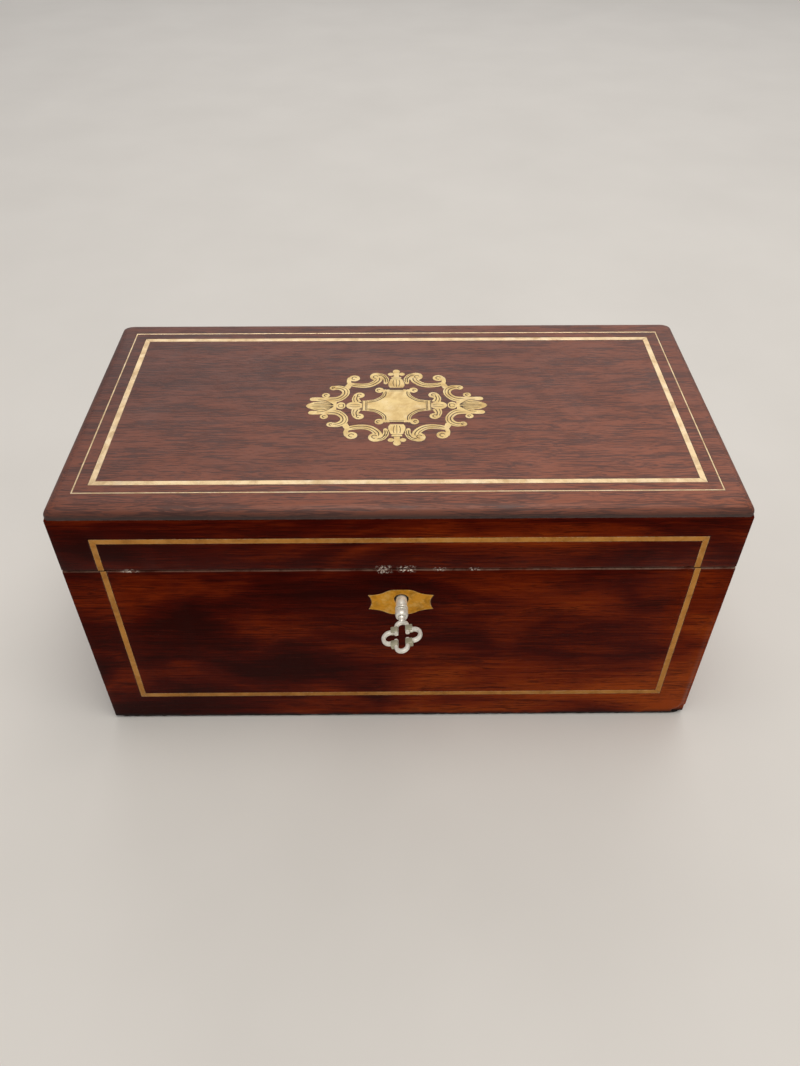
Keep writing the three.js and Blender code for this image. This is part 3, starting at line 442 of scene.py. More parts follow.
def old_brass(name, bright, brown, bloom, patch_size, roughness, tarnished=0.5, bloomed=0.35, wear_and_glint_reach=0.4 * MM):
    """Hand-polished brass gone patchy, with bright rubbed edges, pits and scuffs; on the keyhole plate the
    bright edges reach further, partly as a painted glint.
    """
    finish = Finish(name)
    patina = finish.group(BRASS_PATINA, Position=finish.place, Patch_Size=patch_size)
    marks = finish.group(SCRATCHES, Position=finish.place, Density=0.6)
    colour = finish.over(bright, patina["Tarnish"], tarnished, brown)
    colour = finish.over(colour, patina["Bloom"], bloomed, bloom)
    colour = finish.over(colour, patina["Pits"], 0.45, srgb(70, 44, 24))
    rubbed = finish.wear(wear_and_glint_reach, 0.8)
    colour = finish.over(colour, rubbed, 0.75, srgb(252, 234, 200))
    dull = finish.times(patina["Tarnish"], 0.14)
    height = finish.math("SUBTRACT", finish.times(patina["Bloom"], 0.15),
                         finish.math("ADD", patina["Pits"], marks["Scratches"]))
    finish.set(Base_Color=colour, Metallic=1.0, Roughness=finish.math("ADD", dull, roughness))
    finish.set(Normal=finish.bump(height, 0.02 * MM, 0.5))
    return finish.material


def key_metal(name, clean, dull):
    """Worn plated steel with greenish-grey tarnish, painted shade in its hollows and between its rings, and
    its edges painted bright, partly rubbed plating and partly painted highlight.
    """
    finish = Finish(name)
    patina = finish.group(BRASS_PATINA, Position=finish.place, Patch_Size=3.0)
    rubbed = finish.wear(0.3 * MM, 1.0)
    # Painted shade: ambient occlusion darkens the hollows and the grooves between the rings, on top of the
    # real tarnish.
    hollow = finish.node("ShaderNodeAmbientOcclusion", {"Distance": 1.2 * MM}, samples=8).outputs["AO"]
    painted_crevice_shade = finish.remap(hollow, 0.8, 0.45)
    tarnish_and_crevice_shade = finish.math("MAXIMUM", finish.times(patina["Tarnish"], 0.4), painted_crevice_shade)
    colour = finish.mix(tarnish_and_crevice_shade, clean, dull)
    colour = finish.over(colour, patina["Pits"], 0.5, srgb(84, 78, 60))
    # Partly rubbed plating and partly painted highlight: the edges are painted near white.
    colour = finish.over(colour, rubbed, 0.7, srgb(250, 244, 230))
    roughness = finish.math("ADD", 0.34, finish.times(tarnish_and_crevice_shade, 0.3))
    finish.set(Base_Color=colour, Metallic=0.45, Roughness=roughness)
    finish.set(Normal=finish.bump(finish.math("SUBTRACT", 0.0, patina["Pits"]), 0.03 * MM, 0.5))
    return finish.material


def dark_steel():
    finish = Finish("dark_steel")
    patina = finish.group(BRASS_PATINA, Position=finish.place, Patch_Size=4.0)
    marks = finish.group(SCRATCHES, Position=finish.place, Density=0.8)
    colour = finish.mix(patina["Tarnish"], srgb(128, 126, 122), srgb(82, 66, 54))
    colour = finish.over(colour, marks["Scratches"], 0.6, srgb(184, 182, 178))
    roughness = finish.remap(patina["Tarnish"], 0.0, 1.0, 0.32, 0.55)
    finish.set(Base_Color=colour, Metallic=1.0, Roughness=roughness)
    finish.set(Normal=finish.bump(finish.math("SUBTRACT", 0.0, patina["Pits"]), 0.03 * MM, 0.5))
    return finish.material


def tea_lead():
    """Soft grey foil, creased where it was pressed into the box."""
    finish = Finish("tea_lead")
    cells = {"Vector": finish.place, "Scale": 0.07}
    creases = finish.node("ShaderNodeTexVoronoi", cells, feature="DISTANCE_TO_EDGE").outputs[0]
    ripple = finish.noise(finish.place, scale=0.12, detail=4, roughness=0.6, distortion=0.8)
    folds = finish.math("ADD", finish.remap(creases, 0.0, 0.08), ripple)
    tint = finish.mix(ripple, srgb(98, 100, 102), srgb(148, 150, 150))
    finish.set(Base_Color=tint, Metallic=0.9, Roughness=finish.remap(ripple, 0.3, 0.7, 0.42, 0.62))
    finish.set(Normal=finish.bump(folds, 0.5 * MM, 0.7))
    return finish.material


def velvet():
    """Crushed wine-coloured pile, paler where it lies over."""
    finish = Finish("velvet")
    lie = finish.noise(finish.place, scale=0.05, detail=3, roughness=0.6, distortion=1.2)
    pile = finish.noise(finish.place, scale=3.5, detail=2)
    colour = finish.ramp(lie, (0.36, srgb(58, 10, 20)), (0.5, srgb(88, 18, 30)), (0.66, srgb(124, 38, 48)))
    colour = finish.over(colour, pile, 0.5, srgb(40, 6, 12))
    finish.set(Base_Color=colour, Roughness=finish.remap(pile, 0.3, 0.7, 0.8, 0.98))
    finish.set(Sheen_Weight=0.6, Sheen_Roughness=0.4, Sheen_Tint=srgb(214, 120, 128), Specular_IOR_Level=0.2)
    finish.set(Normal=finish.bump(pile, 0.15 * MM, 0.7))
    return finish.material


def felt():
    """Black-brown felt with loose fibres and dust."""
    finish = Finish("felt")
    fibres = finish.noise(finish.place, scale=2.2, detail=5, roughness=0.75, distortion=1.5)
    dust = finish.remap(finish.noise(finish.place, scale=0.5, detail=4, roughness=0.7), 0.55, 0.72)
    colour = finish.mix(fibres, srgb(14, 12, 12), srgb(52, 46, 42))
    colour = finish.over(colour, dust, 0.4, srgb(112, 104, 94))
    finish.set(Base_Color=colour, Roughness=finish.remap(fibres, 0.3, 0.7, 0.9, 1.0), Specular_IOR_Level=0.1)
    finish.set(Normal=finish.bump(fibres, 0.4 * MM, 0.9))
    return finish.material


def bone():
    """Turned bone: cream, yellowed in patches, with tiny dark lines along the knob."""
    finish = Finish("bone")
    cloud = finish.noise(finish.place, scale=0.35, detail=3, roughness=0.6)
    specks = finish.noise(finish.vector("MULTIPLY", finish.place, (3.2, 3.2, 0.5)), detail=2)
    colour = finish.mix(cloud, srgb(232, 218, 182), srgb(204, 180, 132))
    colour = finish.mix(finish.remap(specks, 0.64, 0.74, 0.0, 0.6), colour, srgb(112, 84, 52))
    finish.set(Base_Color=colour, Roughness=finish.remap(cloud, 0.3, 0.7, 0.28, 0.42))
    finish.set(Subsurface_Weight=0.08, Subsurface_Radius=(0.002, 0.0012, 0.0008))
    finish.set(Normal=finish.bump(specks, 0.02 * MM, 0.4))
    return finish.material


def black_wax():
    """The dark filling of the engraved lines."""
    finish = Finish("black_wax")
    grit = finish.noise(finish.place, scale=3.0, detail=3)
    finish.set(Base_Color=finish.mix(grit, srgb(30, 18, 10), srgb(84, 58, 32)), Roughness=0.7)
    finish.set(Normal=finish.bump(grit, 0.02 * MM, 0.5))
    return finish.material


def pale_floor():
    finish = Finish("pale_floor")
    cloud = finish.noise(finish.place, scale=0.01, detail=3)
    finish.set(Base_Color=finish.mix(cloud, srgb(212, 208, 202), srgb(222, 218, 212)), Roughness=0.85)
    finish.set(Specular_IOR_Level=0.1)
    return finish.material


SATIN_TOP = satin_rosewood()
POLISHED_FRONT = polished_rosewood("polished_rosewood_front", "X", 0.0, 0.18, JOINT)
POLISHED_SIDE = polished_rosewood("polished_rosewood_side", "Y", 0.02)
POLISHED_BACK = polished_rosewood("polished_rosewood_back", "X", 0.03)
MAHOGANY_LONG = mahogany("mahogany_long", "X")
MAHOGANY_CROSS = mahogany("mahogany_cross", "Y")
PALE_BRASS = old_brass("pale_brass", srgb(220, 192, 134), srgb(172, 128, 68), srgb(240, 222, 184), 7.0, 0.3)
STRIP_BRASS = old_brass("strip_brass", srgb(232, 204, 160), srgb(174, 132, 88), srgb(244, 230, 206), 7.0, 0.3)
GOLDEN_BRASS = old_brass("golden_brass", srgb(194, 136, 66), srgb(112, 66, 28), srgb(212, 166, 104), 8.0, 0.3)
# Partly real wear and partly painted glint: the keyhole plate's bright edges reach further, standing in for
# the light caught above the keyhole.
PLATE_BRASS = old_brass("plate_brass", srgb(220, 156, 48), srgb(140, 96, 26), srgb(232, 192, 112), 4.0, 0.32,
                        tarnished=0.7, bloomed=0.6, wear_and_glint_reach=0.9 * MM)
LOCK_BRASS = old_brass("lock_brass", srgb(214, 172, 96), srgb(140, 98, 46), srgb(226, 198, 142), 5.0, 0.34)
KEY_METAL = key_metal("plated_key", srgb(255, 250, 238), srgb(104, 98, 72))
KEY_DULL = key_metal("dull_key", srgb(186, 182, 156), srgb(96, 92, 66))
DARK_STEEL = dark_steel()
TEA_LEAD = tea_lead()
VELVET = velvet()
FELT = felt()
BONE = bone()
BLACK_WAX = black_wax()


# ---------------------------------------------------------------- making pieces
def smooth(mesh):
    """Smooth shading that breaks at sharp edges."""
    bm = bmesh.new()
    bm.from_mesh(mesh)
    for face in bm.faces:
        face.smooth = True
    for edge in bm.edges:
        edge.smooth = len(edge.link_faces) == 2 and edge.calc_face_angle(pi) < SMOOTH_BELOW
    bm.to_mesh(mesh)
    bm.free()


def piece(name, bm, material, body, slot, *stands_for):
    """Turns a bmesh into a piece that rides on a body and stands for CAD nodes."""
    bmesh.ops.recalc_face_normals(bm, faces=bm.faces)
    mesh = bpy.data.meshes.new(name)
    bm.to_mesh(mesh)
    bm.free()
    mesh.materials.append(material)
    smooth(mesh)
    made = bpy.data.objects.new(name, mesh)
    bpy.context.scene.collection.objects.link(made)
    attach(made, body)
    if stands_for:
        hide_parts(*stands_for)
    return made


def grid_of(bm, rings, closed_path=False, capped=True):
    """Skins closed rings of points, one after the other, into one surface."""
    made = [[bm.verts.new(p) for p in ring] for ring in rings]
    pairs = list(zip(made, made[1:]))
    if closed_path:
        pairs.append((made[-1], made[0]))
    count = len(made[0])
    for first, second in pairs:
        for i in range(count):
            j = (i + 1) % count
            bm.faces.new((first[i], first[j], second[j], second[i]))
    if capped and not closed_path:
        bm.faces.new(made[0])
        bm.faces.new(made[-1])
    return made


def turned(bm, profile, place, segments=48):
    """A turned shape from (radius, distance) points; place puts (x, y, distance) in the row frame."""
    rings = []
    for radius, distance in profile:
        ring = []
        for i in range(segments):
            angle = 2 * pi * i / segments
            ring.append(place @ Vector((radius * cos(angle), radius * sin(angle), distance)))
        rings.append(ring)
    grid_of(bm, rings)


def spline(points, t):
    """The point at t, from 0 to 1, on the smooth curve through the points."""
    place = t * (len(points) - 1)
    i = min(int(place), len(points) - 2)
    w = place - i
    p0, p1, p2, p3 = (points[max(0, min(len(points) - 1, k))] for k in (i - 1, i, i + 1, i + 2))
    result = []
    for a, b, c, d in zip(p0, p1, p2, p3):
        v0, v1 = (c - a) / 2, (d - b) / 2
        result.append((2 * b - 2 * c + v0 + v1) * w**3 + (3 * c - 3 * b - 2 * v0 - v1) * w**2 + v0 * w + b)
    return result


def leftwards(start, end):
    """The unit vector to the left of the way from start to end."""
    along, up = end[0] - start[0], end[1] - start[1]
    length = hypot(along, up)
    return -up / length, along / length


def across(points, t):
    """The unit vector to the left of the curve at t."""
    step = 0.002
    return leftwards(spline(points, max(0, t - step)), spline(points, min(1, t + step)))


def width_at(widths, t):
    """The width at t, from 0 to 1, between the widths given along a curve."""
    place = t * (len(widths) - 1)
    i = min(int(place), len(widths) - 2)
    return widths[i] + (widths[i + 1] - widths[i]) * (place - i)


STEPS = 8
TIP_ANGLES = (0.45, 0.9, 1.57, 2.24, 2.69)


def ribbon(route, widths):
    """A band of varying width along a smooth curve, its far end rounded."""
    count = (len(route) - 1) * STEPS
    left, right = [], []
    for k in range(count + 1):
        t = k / count
        x, y = spline(route, t)
        u, v = across(route, t)
        own = width_at(widths, t) / 2
        left.append((x + u * own, y + v * own))
        right.append((x - u * own, y - v * own))
    x, y = spline(route, 1.0)
    u, v = across(route, 1.0)
    own = width_at(widths, 1.0) / 2
    for angle in TIP_ANGLES:
        c, s = cos(angle), sin(angle)
        left.append((x + own * (u * c + v * s), y + own * (v * c - u * s)))
    return left + right[::-1]


def line_beside(route, widths, share, thickness, start=0.06, end=0.94):
    """A thin line that follows a band at a share of its half width from the middle."""
    count = (len(route) - 1) * STEPS
    left, right = [], []
    for k in range(count + 1):
        t = start + (end - start) * k / count
        x, y = spline(route, t)
        u, v = across(route, t)
        middle = share * width_at(widths, t) / 2
        thin = thickness / 2 * min(1.0, 0.25 + 4 * sin(pi * k / count))
        left.append((x + u * (middle + thin), y + v * (middle + thin)))
        right.append((x + u * (middle - thin), y + v * (middle - thin)))
    return left + right[::-1]


def oval(x, y, rx, ry, count=28):
    """The outline of an oval, as points."""
    return [(x + rx * cos(2 * pi * k / count), y + ry * sin(2 * pi * k / count)) for k in range(count)]


def arc_line(x, y, radius, thickness, start, end):
    """A thin line along part of a circle."""
    count = 12
    far, near = radius + thickness / 2, radius - thickness / 2
    outer, inner = [], []
    for k in range(count + 1):
        a = start + (end - start) * k / count
        outer.append((x + far * cos(a), y + far * sin(a)))
        inner.append((x + near * cos(a), y + near * sin(a)))
    return outer + inner[::-1]


def bar(x0, y0, x1, y1):
    return [(x0, y0), (x1, y0), (x1, y1), (x0, y1)]


def rounded_rectangle(x, y, radius, steps=6):
    """The outline of a rectangle that reaches x and y from the middle."""
    points = []
    for sx, sy, start in ((1, 1, 0), (-1, 1, 1), (-1, -1, 2), (1, -1, 3)):
        for k in range(steps + 1):
            a = (start + k / steps) * pi / 2
            points.append((sx * (x - radius) + radius * cos(a), sy * (y - radius) + radius * sin(a)))
    return points


def walked(outline, step):
    """Points about a step apart, all the way round a closed outline."""
    points = []
    for (x0, y0), (x1, y1) in zip(outline, outline[1:] + outline[:1]):
        count = max(1, int(hypot(x1 - x0, y1 - y0) / step))
        points += [(x0 + (x1 - x0) * k / count, y0 + (y1 - y0) * k / count) for k in range(count)]
    return points


def anticlockwise(points):
    area = sum(a[0] * b[1] - b[0] * a[1] for a, b in zip(points, points[1:] + points[:1]))
    return points if area > 0 else points[::-1]


def tiles(outlines):
    """Cuts the plane along all the outlines: (points, [(triangle, set of outlines that it lies in)])."""
    points, faces = [], []
    for outline in outlines:
        start = len(points)
        points += [Vector(p) for p in anticlockwise(list(outline))]
        faces.append(list(range(start, len(points))))
    found = delaunay_2d_cdt(points, [], faces, 1, 1e-5, True)
    return found[0], [(tri, set(owners)) for tri, owners in zip(found[2], found[5])]


AS_DRAWN = Matrix.Identity(4)


def flat_solid(bm, points, triangles, low, high, place=AS_DRAWN):
    """Extrudes chosen triangles into one closed solid; place puts (x, y, height) in the row frame."""
    used = sorted({i for tri in triangles for i in tri})
    floor_verts = {i: bm.verts.new(place @ Vector((*points[i], low))) for i in used}
    roof_verts = {i: bm.verts.new(place @ Vector((*points[i], high))) for i in used}
    edges = set()
    for tri in triangles:
        bm.faces.new([roof_verts[i] for i in tri])
        bm.faces.new([floor_verts[i] for i in reversed(tri)])
        edges |= {(tri[k], tri[(k + 1) % len(tri)]) for k in range(len(tri))}
    rim = [(a, b) for a, b in edges if (b, a) not in edges]
    for a, b in rim:
        bm.faces.new((roof_verts[b], roof_verts[a], floor_verts[a], floor_verts[b]))


def tidy_flats(bm, angle=0.5):
    """Joins the triangles of each flat face."""
    bmesh.ops.recalc_face_normals(bm, faces=bm.faces)
    bmesh.ops.dissolve_limit(bm, angle_limit=radians(angle), verts=bm.verts, edges=bm.edges)


def round_off(bm, edges, radius, segments):
    bmesh.ops.bevel(bm, geom=edges, offset=radius, segments=segments, profile=0.6,
                    affect="EDGES", clamp_overlap=True)


def soften(bm, chosen, radius, segments=2):
    """Rounds the chosen edges."""
    round_off(bm, [e for e in bm.edges if len(e.link_faces) == 2 and chosen(e)], radius, segments)


def rim_at(axis, value):
    """Chooses the sharp edges that lie at this place along an axis."""
    def chosen(edge):
        return all(abs(v.co[axis] - value) < 0.001 * MM for v in edge.verts) and edge.calc_face_angle(0) > 1.2

    return chosen


def sharp(edge):
    return edge.calc_face_angle(0) > 0.6


def copied(node):
    """A CAD node's shape, its split corners merged and its flat faces made whole."""
    bm = bmesh.new()
    bm.from_mesh(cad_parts[node].data)
    bmesh.ops.remove_doubles(bm, verts=bm.verts, dist=0.002 * MM)
    tidy_flats(bm)
    return bm


def wobble(point, scale, seed):
    """Smooth noise from -1 to 1."""
    return noise.noise(Vector(point) * scale + Vector((seed * 3.7, seed * 1.3, seed * 7.1)))


def sliced(bm, axis, places):
    """Cuts the shape across at these places along an axis, to give its long edges points that can move."""
    normal = Vector([1.0 if k == axis else 0.0 for k in range(3)])
    for value in places:
        geometry = list(bm.verts) + list(bm.edges) + list(bm.faces)
        bmesh.ops.bisect_plane(bm, geom=geometry, plane_co=normal * value, plane_no=normal, dist=1e-7)


def steps_between(low, high, step, seed):
    """Places from low to high, about a step apart and a little uneven."""
    count = max(1, ceil((high - low) / step))
    width = (high - low) / count
    return [low + width * (k + 0.35 * wobble((k * 1.9, 0.3, 0.7), 1.0, seed)) for k in range(1, count)]


# ---------------------------------------------------------------- boards
def on_outside(edge, low, high, planes):
    """True where an edge lies on two of a board's named outer planes, such as ("x0", "z1")."""
    touched = 0
    for plane in planes:
        axis = "xyz".index(plane[0])
        value = (low, high)[int(plane[1])][axis]
        touched += all(abs(v.co[axis] - value) < 0.01 * MM for v in edge.verts)
    return touched >= 2


def worn_arrises(bm, low, high, axis, planes, depth, seed):
    """Rubs back the corners that run along an axis: every point near one moves in, more in some places."""
    others = [k for k in range(3) if k != axis]
    for vert in bm.verts:
        nearest = None
        for first in planes:
            for second in planes:
                k, m = "xyz".index(first[0]), "xyz".index(second[0])
                if k >= m or k == axis or m == axis:
                    continue
                corner = {k: (low, high)[int(first[1])][k], m: (low, high)[int(second[1])][m]}
                reach = max(abs(vert.co[n] - corner[n]) for n in others)
                if nearest is None or reach < nearest[0]:
                    nearest = (reach, corner)
        if nearest and nearest[0] < 1.6 * depth:
            broad, fine = wobble(vert.co, 160.0, seed), wobble(vert.co, 700.0, seed + 1)
            amount = max(0.0, broad) + 0.5 * max(0.0, fine)
            inward = Vector((0, 0, 0))
            middle = (low + high) / 2
            for n, value in nearest[1].items():
                inward[n] = 1.0 if middle[n] > value else -1.0
            vert.co += inward * amount * depth


def worn_foot_corner(bm, reach):
    """The front right corner of the foot, worn round over the years."""
    centre = Vector((HIGH.x - reach, FRONT + reach, CASE_FRONT[0].z + reach))
    limit = reach * 1.16
    for vert in bm.verts:
        away = vert.co - centre
        if away.x > 0 and away.y < 0 and away.z < 0 and away.length > limit:
            vert.co = centre + away * (limit / away.length)


def front_board(node, name, body, rim_plane):
    """A front board whose joint edge, foot and upright corners show wear."""
    bm = copied(node)
    low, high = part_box(node)
    planes = ("x0", "x1", "y0", "z0", "z1")
    soften(bm, lambda e: on_outside(e, low, high, planes), 0.45 * MM, 2)
    sliced(bm, 0, steps_between(low.x, high.x, 3.2 * MM, 4))
    if node == "front_board":
        cuts = [k * MM for k in (1.2, 2.4, 3.6, 4.8, 6)]
        sliced(bm, 0, [high.x - cut for cut in cuts])
        sliced(bm, 2, [low.z + cut for cut in cuts])
        worn_foot_corner(bm, cuts[-1])
    worn_arrises(bm, low, high, 0, ("y0", rim_plane), 0.32 * MM, 3)
    return piece(name, bm, POLISHED_FRONT, body, "polished_rosewood", node)


def side_board(node, name, body, finish, axis, planes):
    """A side or back board, its outer edges rubbed along their length."""
    bm = copied(node)
    low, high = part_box(node)
    soften(bm, lambda e: on_outside(e, low, high, planes), 0.4 * MM, 2)
    sliced(bm, axis, steps_between(low[axis], high[axis], 4.0 * MM, 6))
    worn_arrises(bm, low, high, axis, planes, 0.25 * MM, 8)
    return piece(name, bm, finish, body, "rosewood", node)


def make_boards():
    front_board("front_board", "case_front", "case", "z1")
    front_board("lid_front_board", "lid_front", "lid", "z0")
    for body, rim, (left, right, back) in (
        ("case", "z1", ("left_side_board", "right_side_board", "back_board")),
        ("lid", "z0", ("lid_left_board", "lid_right_board", "lid_back_board")),
    ):
        side_board(left, f"{body}_left_side", body, POLISHED_SIDE, 1, ("x0", rim, "z0"))
        side_board(right, f"{body}_right_side", body, POLISHED_SIDE, 1, ("x1", rim, "z0"))
        side_board(back, f"{body}_back", body, POLISHED_BACK, 0, ("x0", "x1", "y1", rim, "z0"))


# ---------------------------------------------------------------- the top board and its brass
# The medallion's right-hand back quarter, in millimetres from its middle. A band is its route and the
# widths along it. A lobe is its middle and two half widths, a volute its middle and radius. The spray and
# the vase are half outlines, and a leaf is how far its vein reaches and spreads.
SCROLLS = [
    ([(27.9, 13.9), (25.2, 14), (22.9, 12.4), (22.3, 9.7), (23.5, 6.9), (26.2, 4.8), (31, 4.6)],
     [3, 3.2, 3.6, 3.3, 3.3, 3.8, 3.6]),
    ([(20.3, 16.9), (18.4, 16.1), (15.1, 15.6), (12, 16.1), (9.6, 17.9), (8.1, 20.3), (8.4, 22.6)],
     [2.4, 3, 3.2, 3.3, 3.3, 3.6, 4.4]),
    ([(8.5, 24.6), (6, 23.6), (4.6, 20.6), (4.8, 17.6)], [2.4, 2.4, 2.6, 1.8]),
    ([(13.4, 2.7), (8.8, 3.9), (5.3, 7.6), (5, 11.5)], [2.2, 2.2, 2.3, 2]),
    ([(17.2, 2.6), (17.9, 5.2), (17.4, 8)], [4, 3.2, 2.6]),
]
PLAIN_BANDS = [
    ([(22, 13.6), (20.6, 17)], [2.8, 2.4]),
    ([(20.6, 16.8), (21.3, 19), (20.9, 21.3)], [1.9, 1.9, 2.2]),
    ([(36.6, 5.1), (33.5, 4.9), (30.5, 4.2)], [2.6, 3, 3.6]),
]
LOBES = [
    (28, 13.8, 1.65, 1.65), (31, 8, 1.75, 1.75), (18.9, 21.6, 2.5, 2.4), (9, 23, 2.9, 3), (7.5, 11.9, 1.9, 2),
    (16.2, 8, 2.2, 2.1), (36.6, 5.1, 1.3, 1.3), (2.5, 24.9, 1.35, 1.25),
]
VOLUTES = [
    (31, 8, 0.7), (18.9, 21.6, 1.1), (9.3, 22.6, 1.1), (7.9, 11.9, 0.7), (16.3, 8, 0.9), (27.9, 13.8, 0.6),
]
SPRAY = [(26, 3), (30, 3.4), (33.5, 3.2), (36.3, 2.7), (38.4, 1.4), (39.3, 0)]
VASE = [
    (2.9, 13.9), (3.6, 15.5), (3.6, 17.4), (2.6, 20.6), (1.6, 21.2), (2.2, 21.4), (2.2, 22.4), (1.2, 22.8),
    (1.2, 26),
]
LEAVES = ((37.4, 0.6), (36.4, 1.7), (35.4, 3.1), (34.6, 4.6))
QUARTERS = ((1, 1), (-1, 1), (-1, -1), (1, -1))


def cartouche(grown):
    """The middle plate, whose four corners are hollowed out."""
    centre_x, centre_y, hollow = 12.5, 12, 8.4 - grown
    crown, brow = 12.4 + grown, 3.9 + grown
    start, end = -pi / 2, atan2(crown - centre_y, brow - centre_x) - 2 * pi
    points = []
    for sx, sy in QUARTERS:
        arc = []
        for k in range(17):
            a = start + (end - start) * k / 16
            arc.append((sx * (centre_x + hollow * cos(a)), sy * (centre_y + hollow * sin(a))))
        points += arc if sx * sy > 0 else arc[::-1]
    return points


def medallion_outlines(grown):
    """Every shape that the medallion is cut to, in millimetres from its middle."""
    outlines = [cartouche(grown)]
    waist = 3.75 + grown
    spray = [(u + (grown if v == 0 else 0), v + (grown if v else 0)) for u, v in SPRAY]
    spray += [(u, -v) for u, v in spray[-2::-1]]
    vase = [(u + grown, v - (0 if i else grown)) for i, (u, v) in enumerate(VASE)]
    vase += [(-u, v) for u, v in vase[::-1]]
    for s in (-1, 1):
        near, far = s * (12.2 - grown), s * (15 + grown)
        outlines.append(bar(near, -waist, far, waist))
        outlines.append(oval(s * 18.2, 0, 3.6 + grown, 2.9 + grown))
        outlines.append(oval(s * 24.1, 0, 2 + grown, 2.6 + grown))
        outlines.append([(s * u, v) for u, v in spray])
        outlines.append([(u, s * v) for u, v in vase])
        outlines.append(oval(0, s * 27, 1.6 + grown, 1.7 + grown))
    for sx, sy in QUARTERS:
        for route, widths in SCROLLS + PLAIN_BANDS:
            mirrored = [(sx * u, sy * v) for u, v in route]
            outlines.append(ribbon(mirrored, [w + 2 * grown for w in widths]))
        for x, y, rx, ry in LOBES:
            outlines.append(oval(sx * x, sy * y, rx + grown, ry + grown))
    return outlines


def engraved_lines():
    """The lines cut into the medallion: beside the scrolls, round the volutes and along the leaves."""
    lines = []
    even = [1, 1]
    for sx, sy in QUARTERS:
        def mirrored(*route):
            return [(sx * u, sy * v) for u, v in route]

        side = sx * sy
        for route, widths in SCROLLS:
            lines.append(line_beside(mirrored(*route), widths, 0.3 * side, 0.46))
            lines.append(line_beside(mirrored(*route), widths, -0.5 * side, 0.3, 0.12, 0.88))
        for x, y, r in VOLUTES:
            lines.append(arc_line(sx * x, sy * y, r, 0.4, 0.4, 5.0))
        for reach, spread in LEAVES:
            vein = mirrored((27, 0.4), (31, spread * 0.85), (reach, spread))
            lines.append(line_beside(vein, even, 0, 0.34))
        lines.append(line_beside(mirrored((15.6, 0.5), (18, 0.9), (20.6, 0.5)), even, 0, 0.26))
        lines.append(line_beside(mirrored((0.9, 14.6), (1.5, 17.4), (1.2, 20.3)), even, 0, 0.3))
        lines.append(line_beside(mirrored((5.6, 22.6), (3.9, 20.2), (4.3, 18.2)), even, 0, 0.3))
    for s in (-1, 1):
        for x in (12.7, 13.25, 14.6):
            lines.append(bar(s * x, -3.5, s * (x + 0.28), 3.5))
        for y in (20.85, 22.3):
            lines.append(bar(-1.9, s * y, 1.9, s * (y + 0.26)))
        lines.append([(-0.14, s * 14.4), (0.14, s * 14.4), (0.1, s * 20.4), (-0.1, s * 20.4)])
        lines.append(bar(-3.2, s * 11.1, 3.2, s * 11.35))
        lines.append(bar(-3.0, s * 12.0, 3.0, s * 12.4))
        lines.append(arc_line(s * 24, 0, 1.25, 0.28, 0.0, 2 * pi - 0.3))
        lines.append(bar(s * 22.9, -1.3, s * 23.2, 1.3))
    return lines


def placed_medallion(points):
    """An outline of the medallion where it lies on the top."""
    return [(MIDDLE.x + x * MM, MIDDLE.y + y * MM) for x, y in points]


def ring_round(low, high, width):
    """The two rectangles of a groove for a frame of brass of this width inside these corners."""
    fit = INLAY_FIT
    inner = fit + width
    return (bar(low.x - fit, low.y - fit, high.x + fit, high.y + fit),
            bar(low.x + inner, low.y + inner, high.x - inner, high.y - inner))


def top_grooves():
    """The grooves of the top's stringing and of its fine line."""
    left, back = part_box("top_band_left"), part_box("top_band_back")
    low = Vector((left[0].x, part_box("top_band_front")[0].y))
    high = Vector((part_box("top_band_right")[1].x, back[1].y))
    fine_low, fine_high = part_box("top_fine_line")
    return [ring_round(low, high, left[1].x - left[0].x), ring_round(fine_low, fine_high, FINE_LINE)]


def top_outline(inset):
    """The outline of the top, this far in from its sides."""
    high = LID_TOP[1]
    return rounded_rectangle(high.x - inset, high.y - inset, 2.2 * MM + 0.9 * inset)


def make_top_board():
    """The top: its edge rolls over in a quarter round, and its face is cut away for the brass."""
    low, high = LID_TOP
    roll_in, roll_down = 5 * MM, 3.8 * MM
    levels = [(0.0, low.z), (0.0, high.z - roll_down)]
    count = 12
    for k in range(1, count + 1):
        a = k / count * pi / 2
        levels.append((roll_in * (1 - cos(a)), high.z - roll_down * (1 - sin(a))))
    rings = [[Vector((u, v, z)) for u, v in top_outline(inset)] for inset, z in levels]
    outlines = [top_outline(roll_in)]
    grooves = top_grooves()
    for outer, inner in grooves:
        outlines += [outer, inner]
    first_pocket = len(outlines)
    outlines += [placed_medallion(o) for o in medallion_outlines(INLAY_FIT / MM)]
    points, found = tiles(outlines)
    bm = bmesh.new()
    skin = grid_of(bm, rings, capped=False)
    bm.faces.new(skin[0])
    bed = high.z - INLAY_DEEP - 0.05 * MM
    roof, sunk = {}, {}
    walls = set()
    sunk_edges = set()
    for tri, owners in found:
        if 0 not in owners:
            continue
        ringed = any((1 + 2 * g) in owners and (2 + 2 * g) not in owners for g in range(len(grooves)))
        down = ringed or any(o >= first_pocket for o in owners)
        level, made = (bed, sunk) if down else (high.z, roof)
        for i in tri:
            if i not in made:
                made[i] = bm.verts.new((*points[i], level))
        bm.faces.new([made[i] for i in tri])
        edges = {(tri[k], tri[(k + 1) % 3]) for k in range(3)}
        if down:
            sunk_edges |= edges
        else:
            walls |= edges
    for a, b in sunk_edges:
        if (b, a) not in sunk_edges and (b, a) in walls:
            bm.faces.new((sunk[b], sunk[a], roof[a], roof[b]))
    bmesh.ops.remove_doubles(bm, verts=bm.verts, dist=0.0005 * MM)
    tidy_flats(bm, 0.2)
    return piece("lid_top", bm, SATIN_TOP, "lid", "rosewood", "lid_top_board")


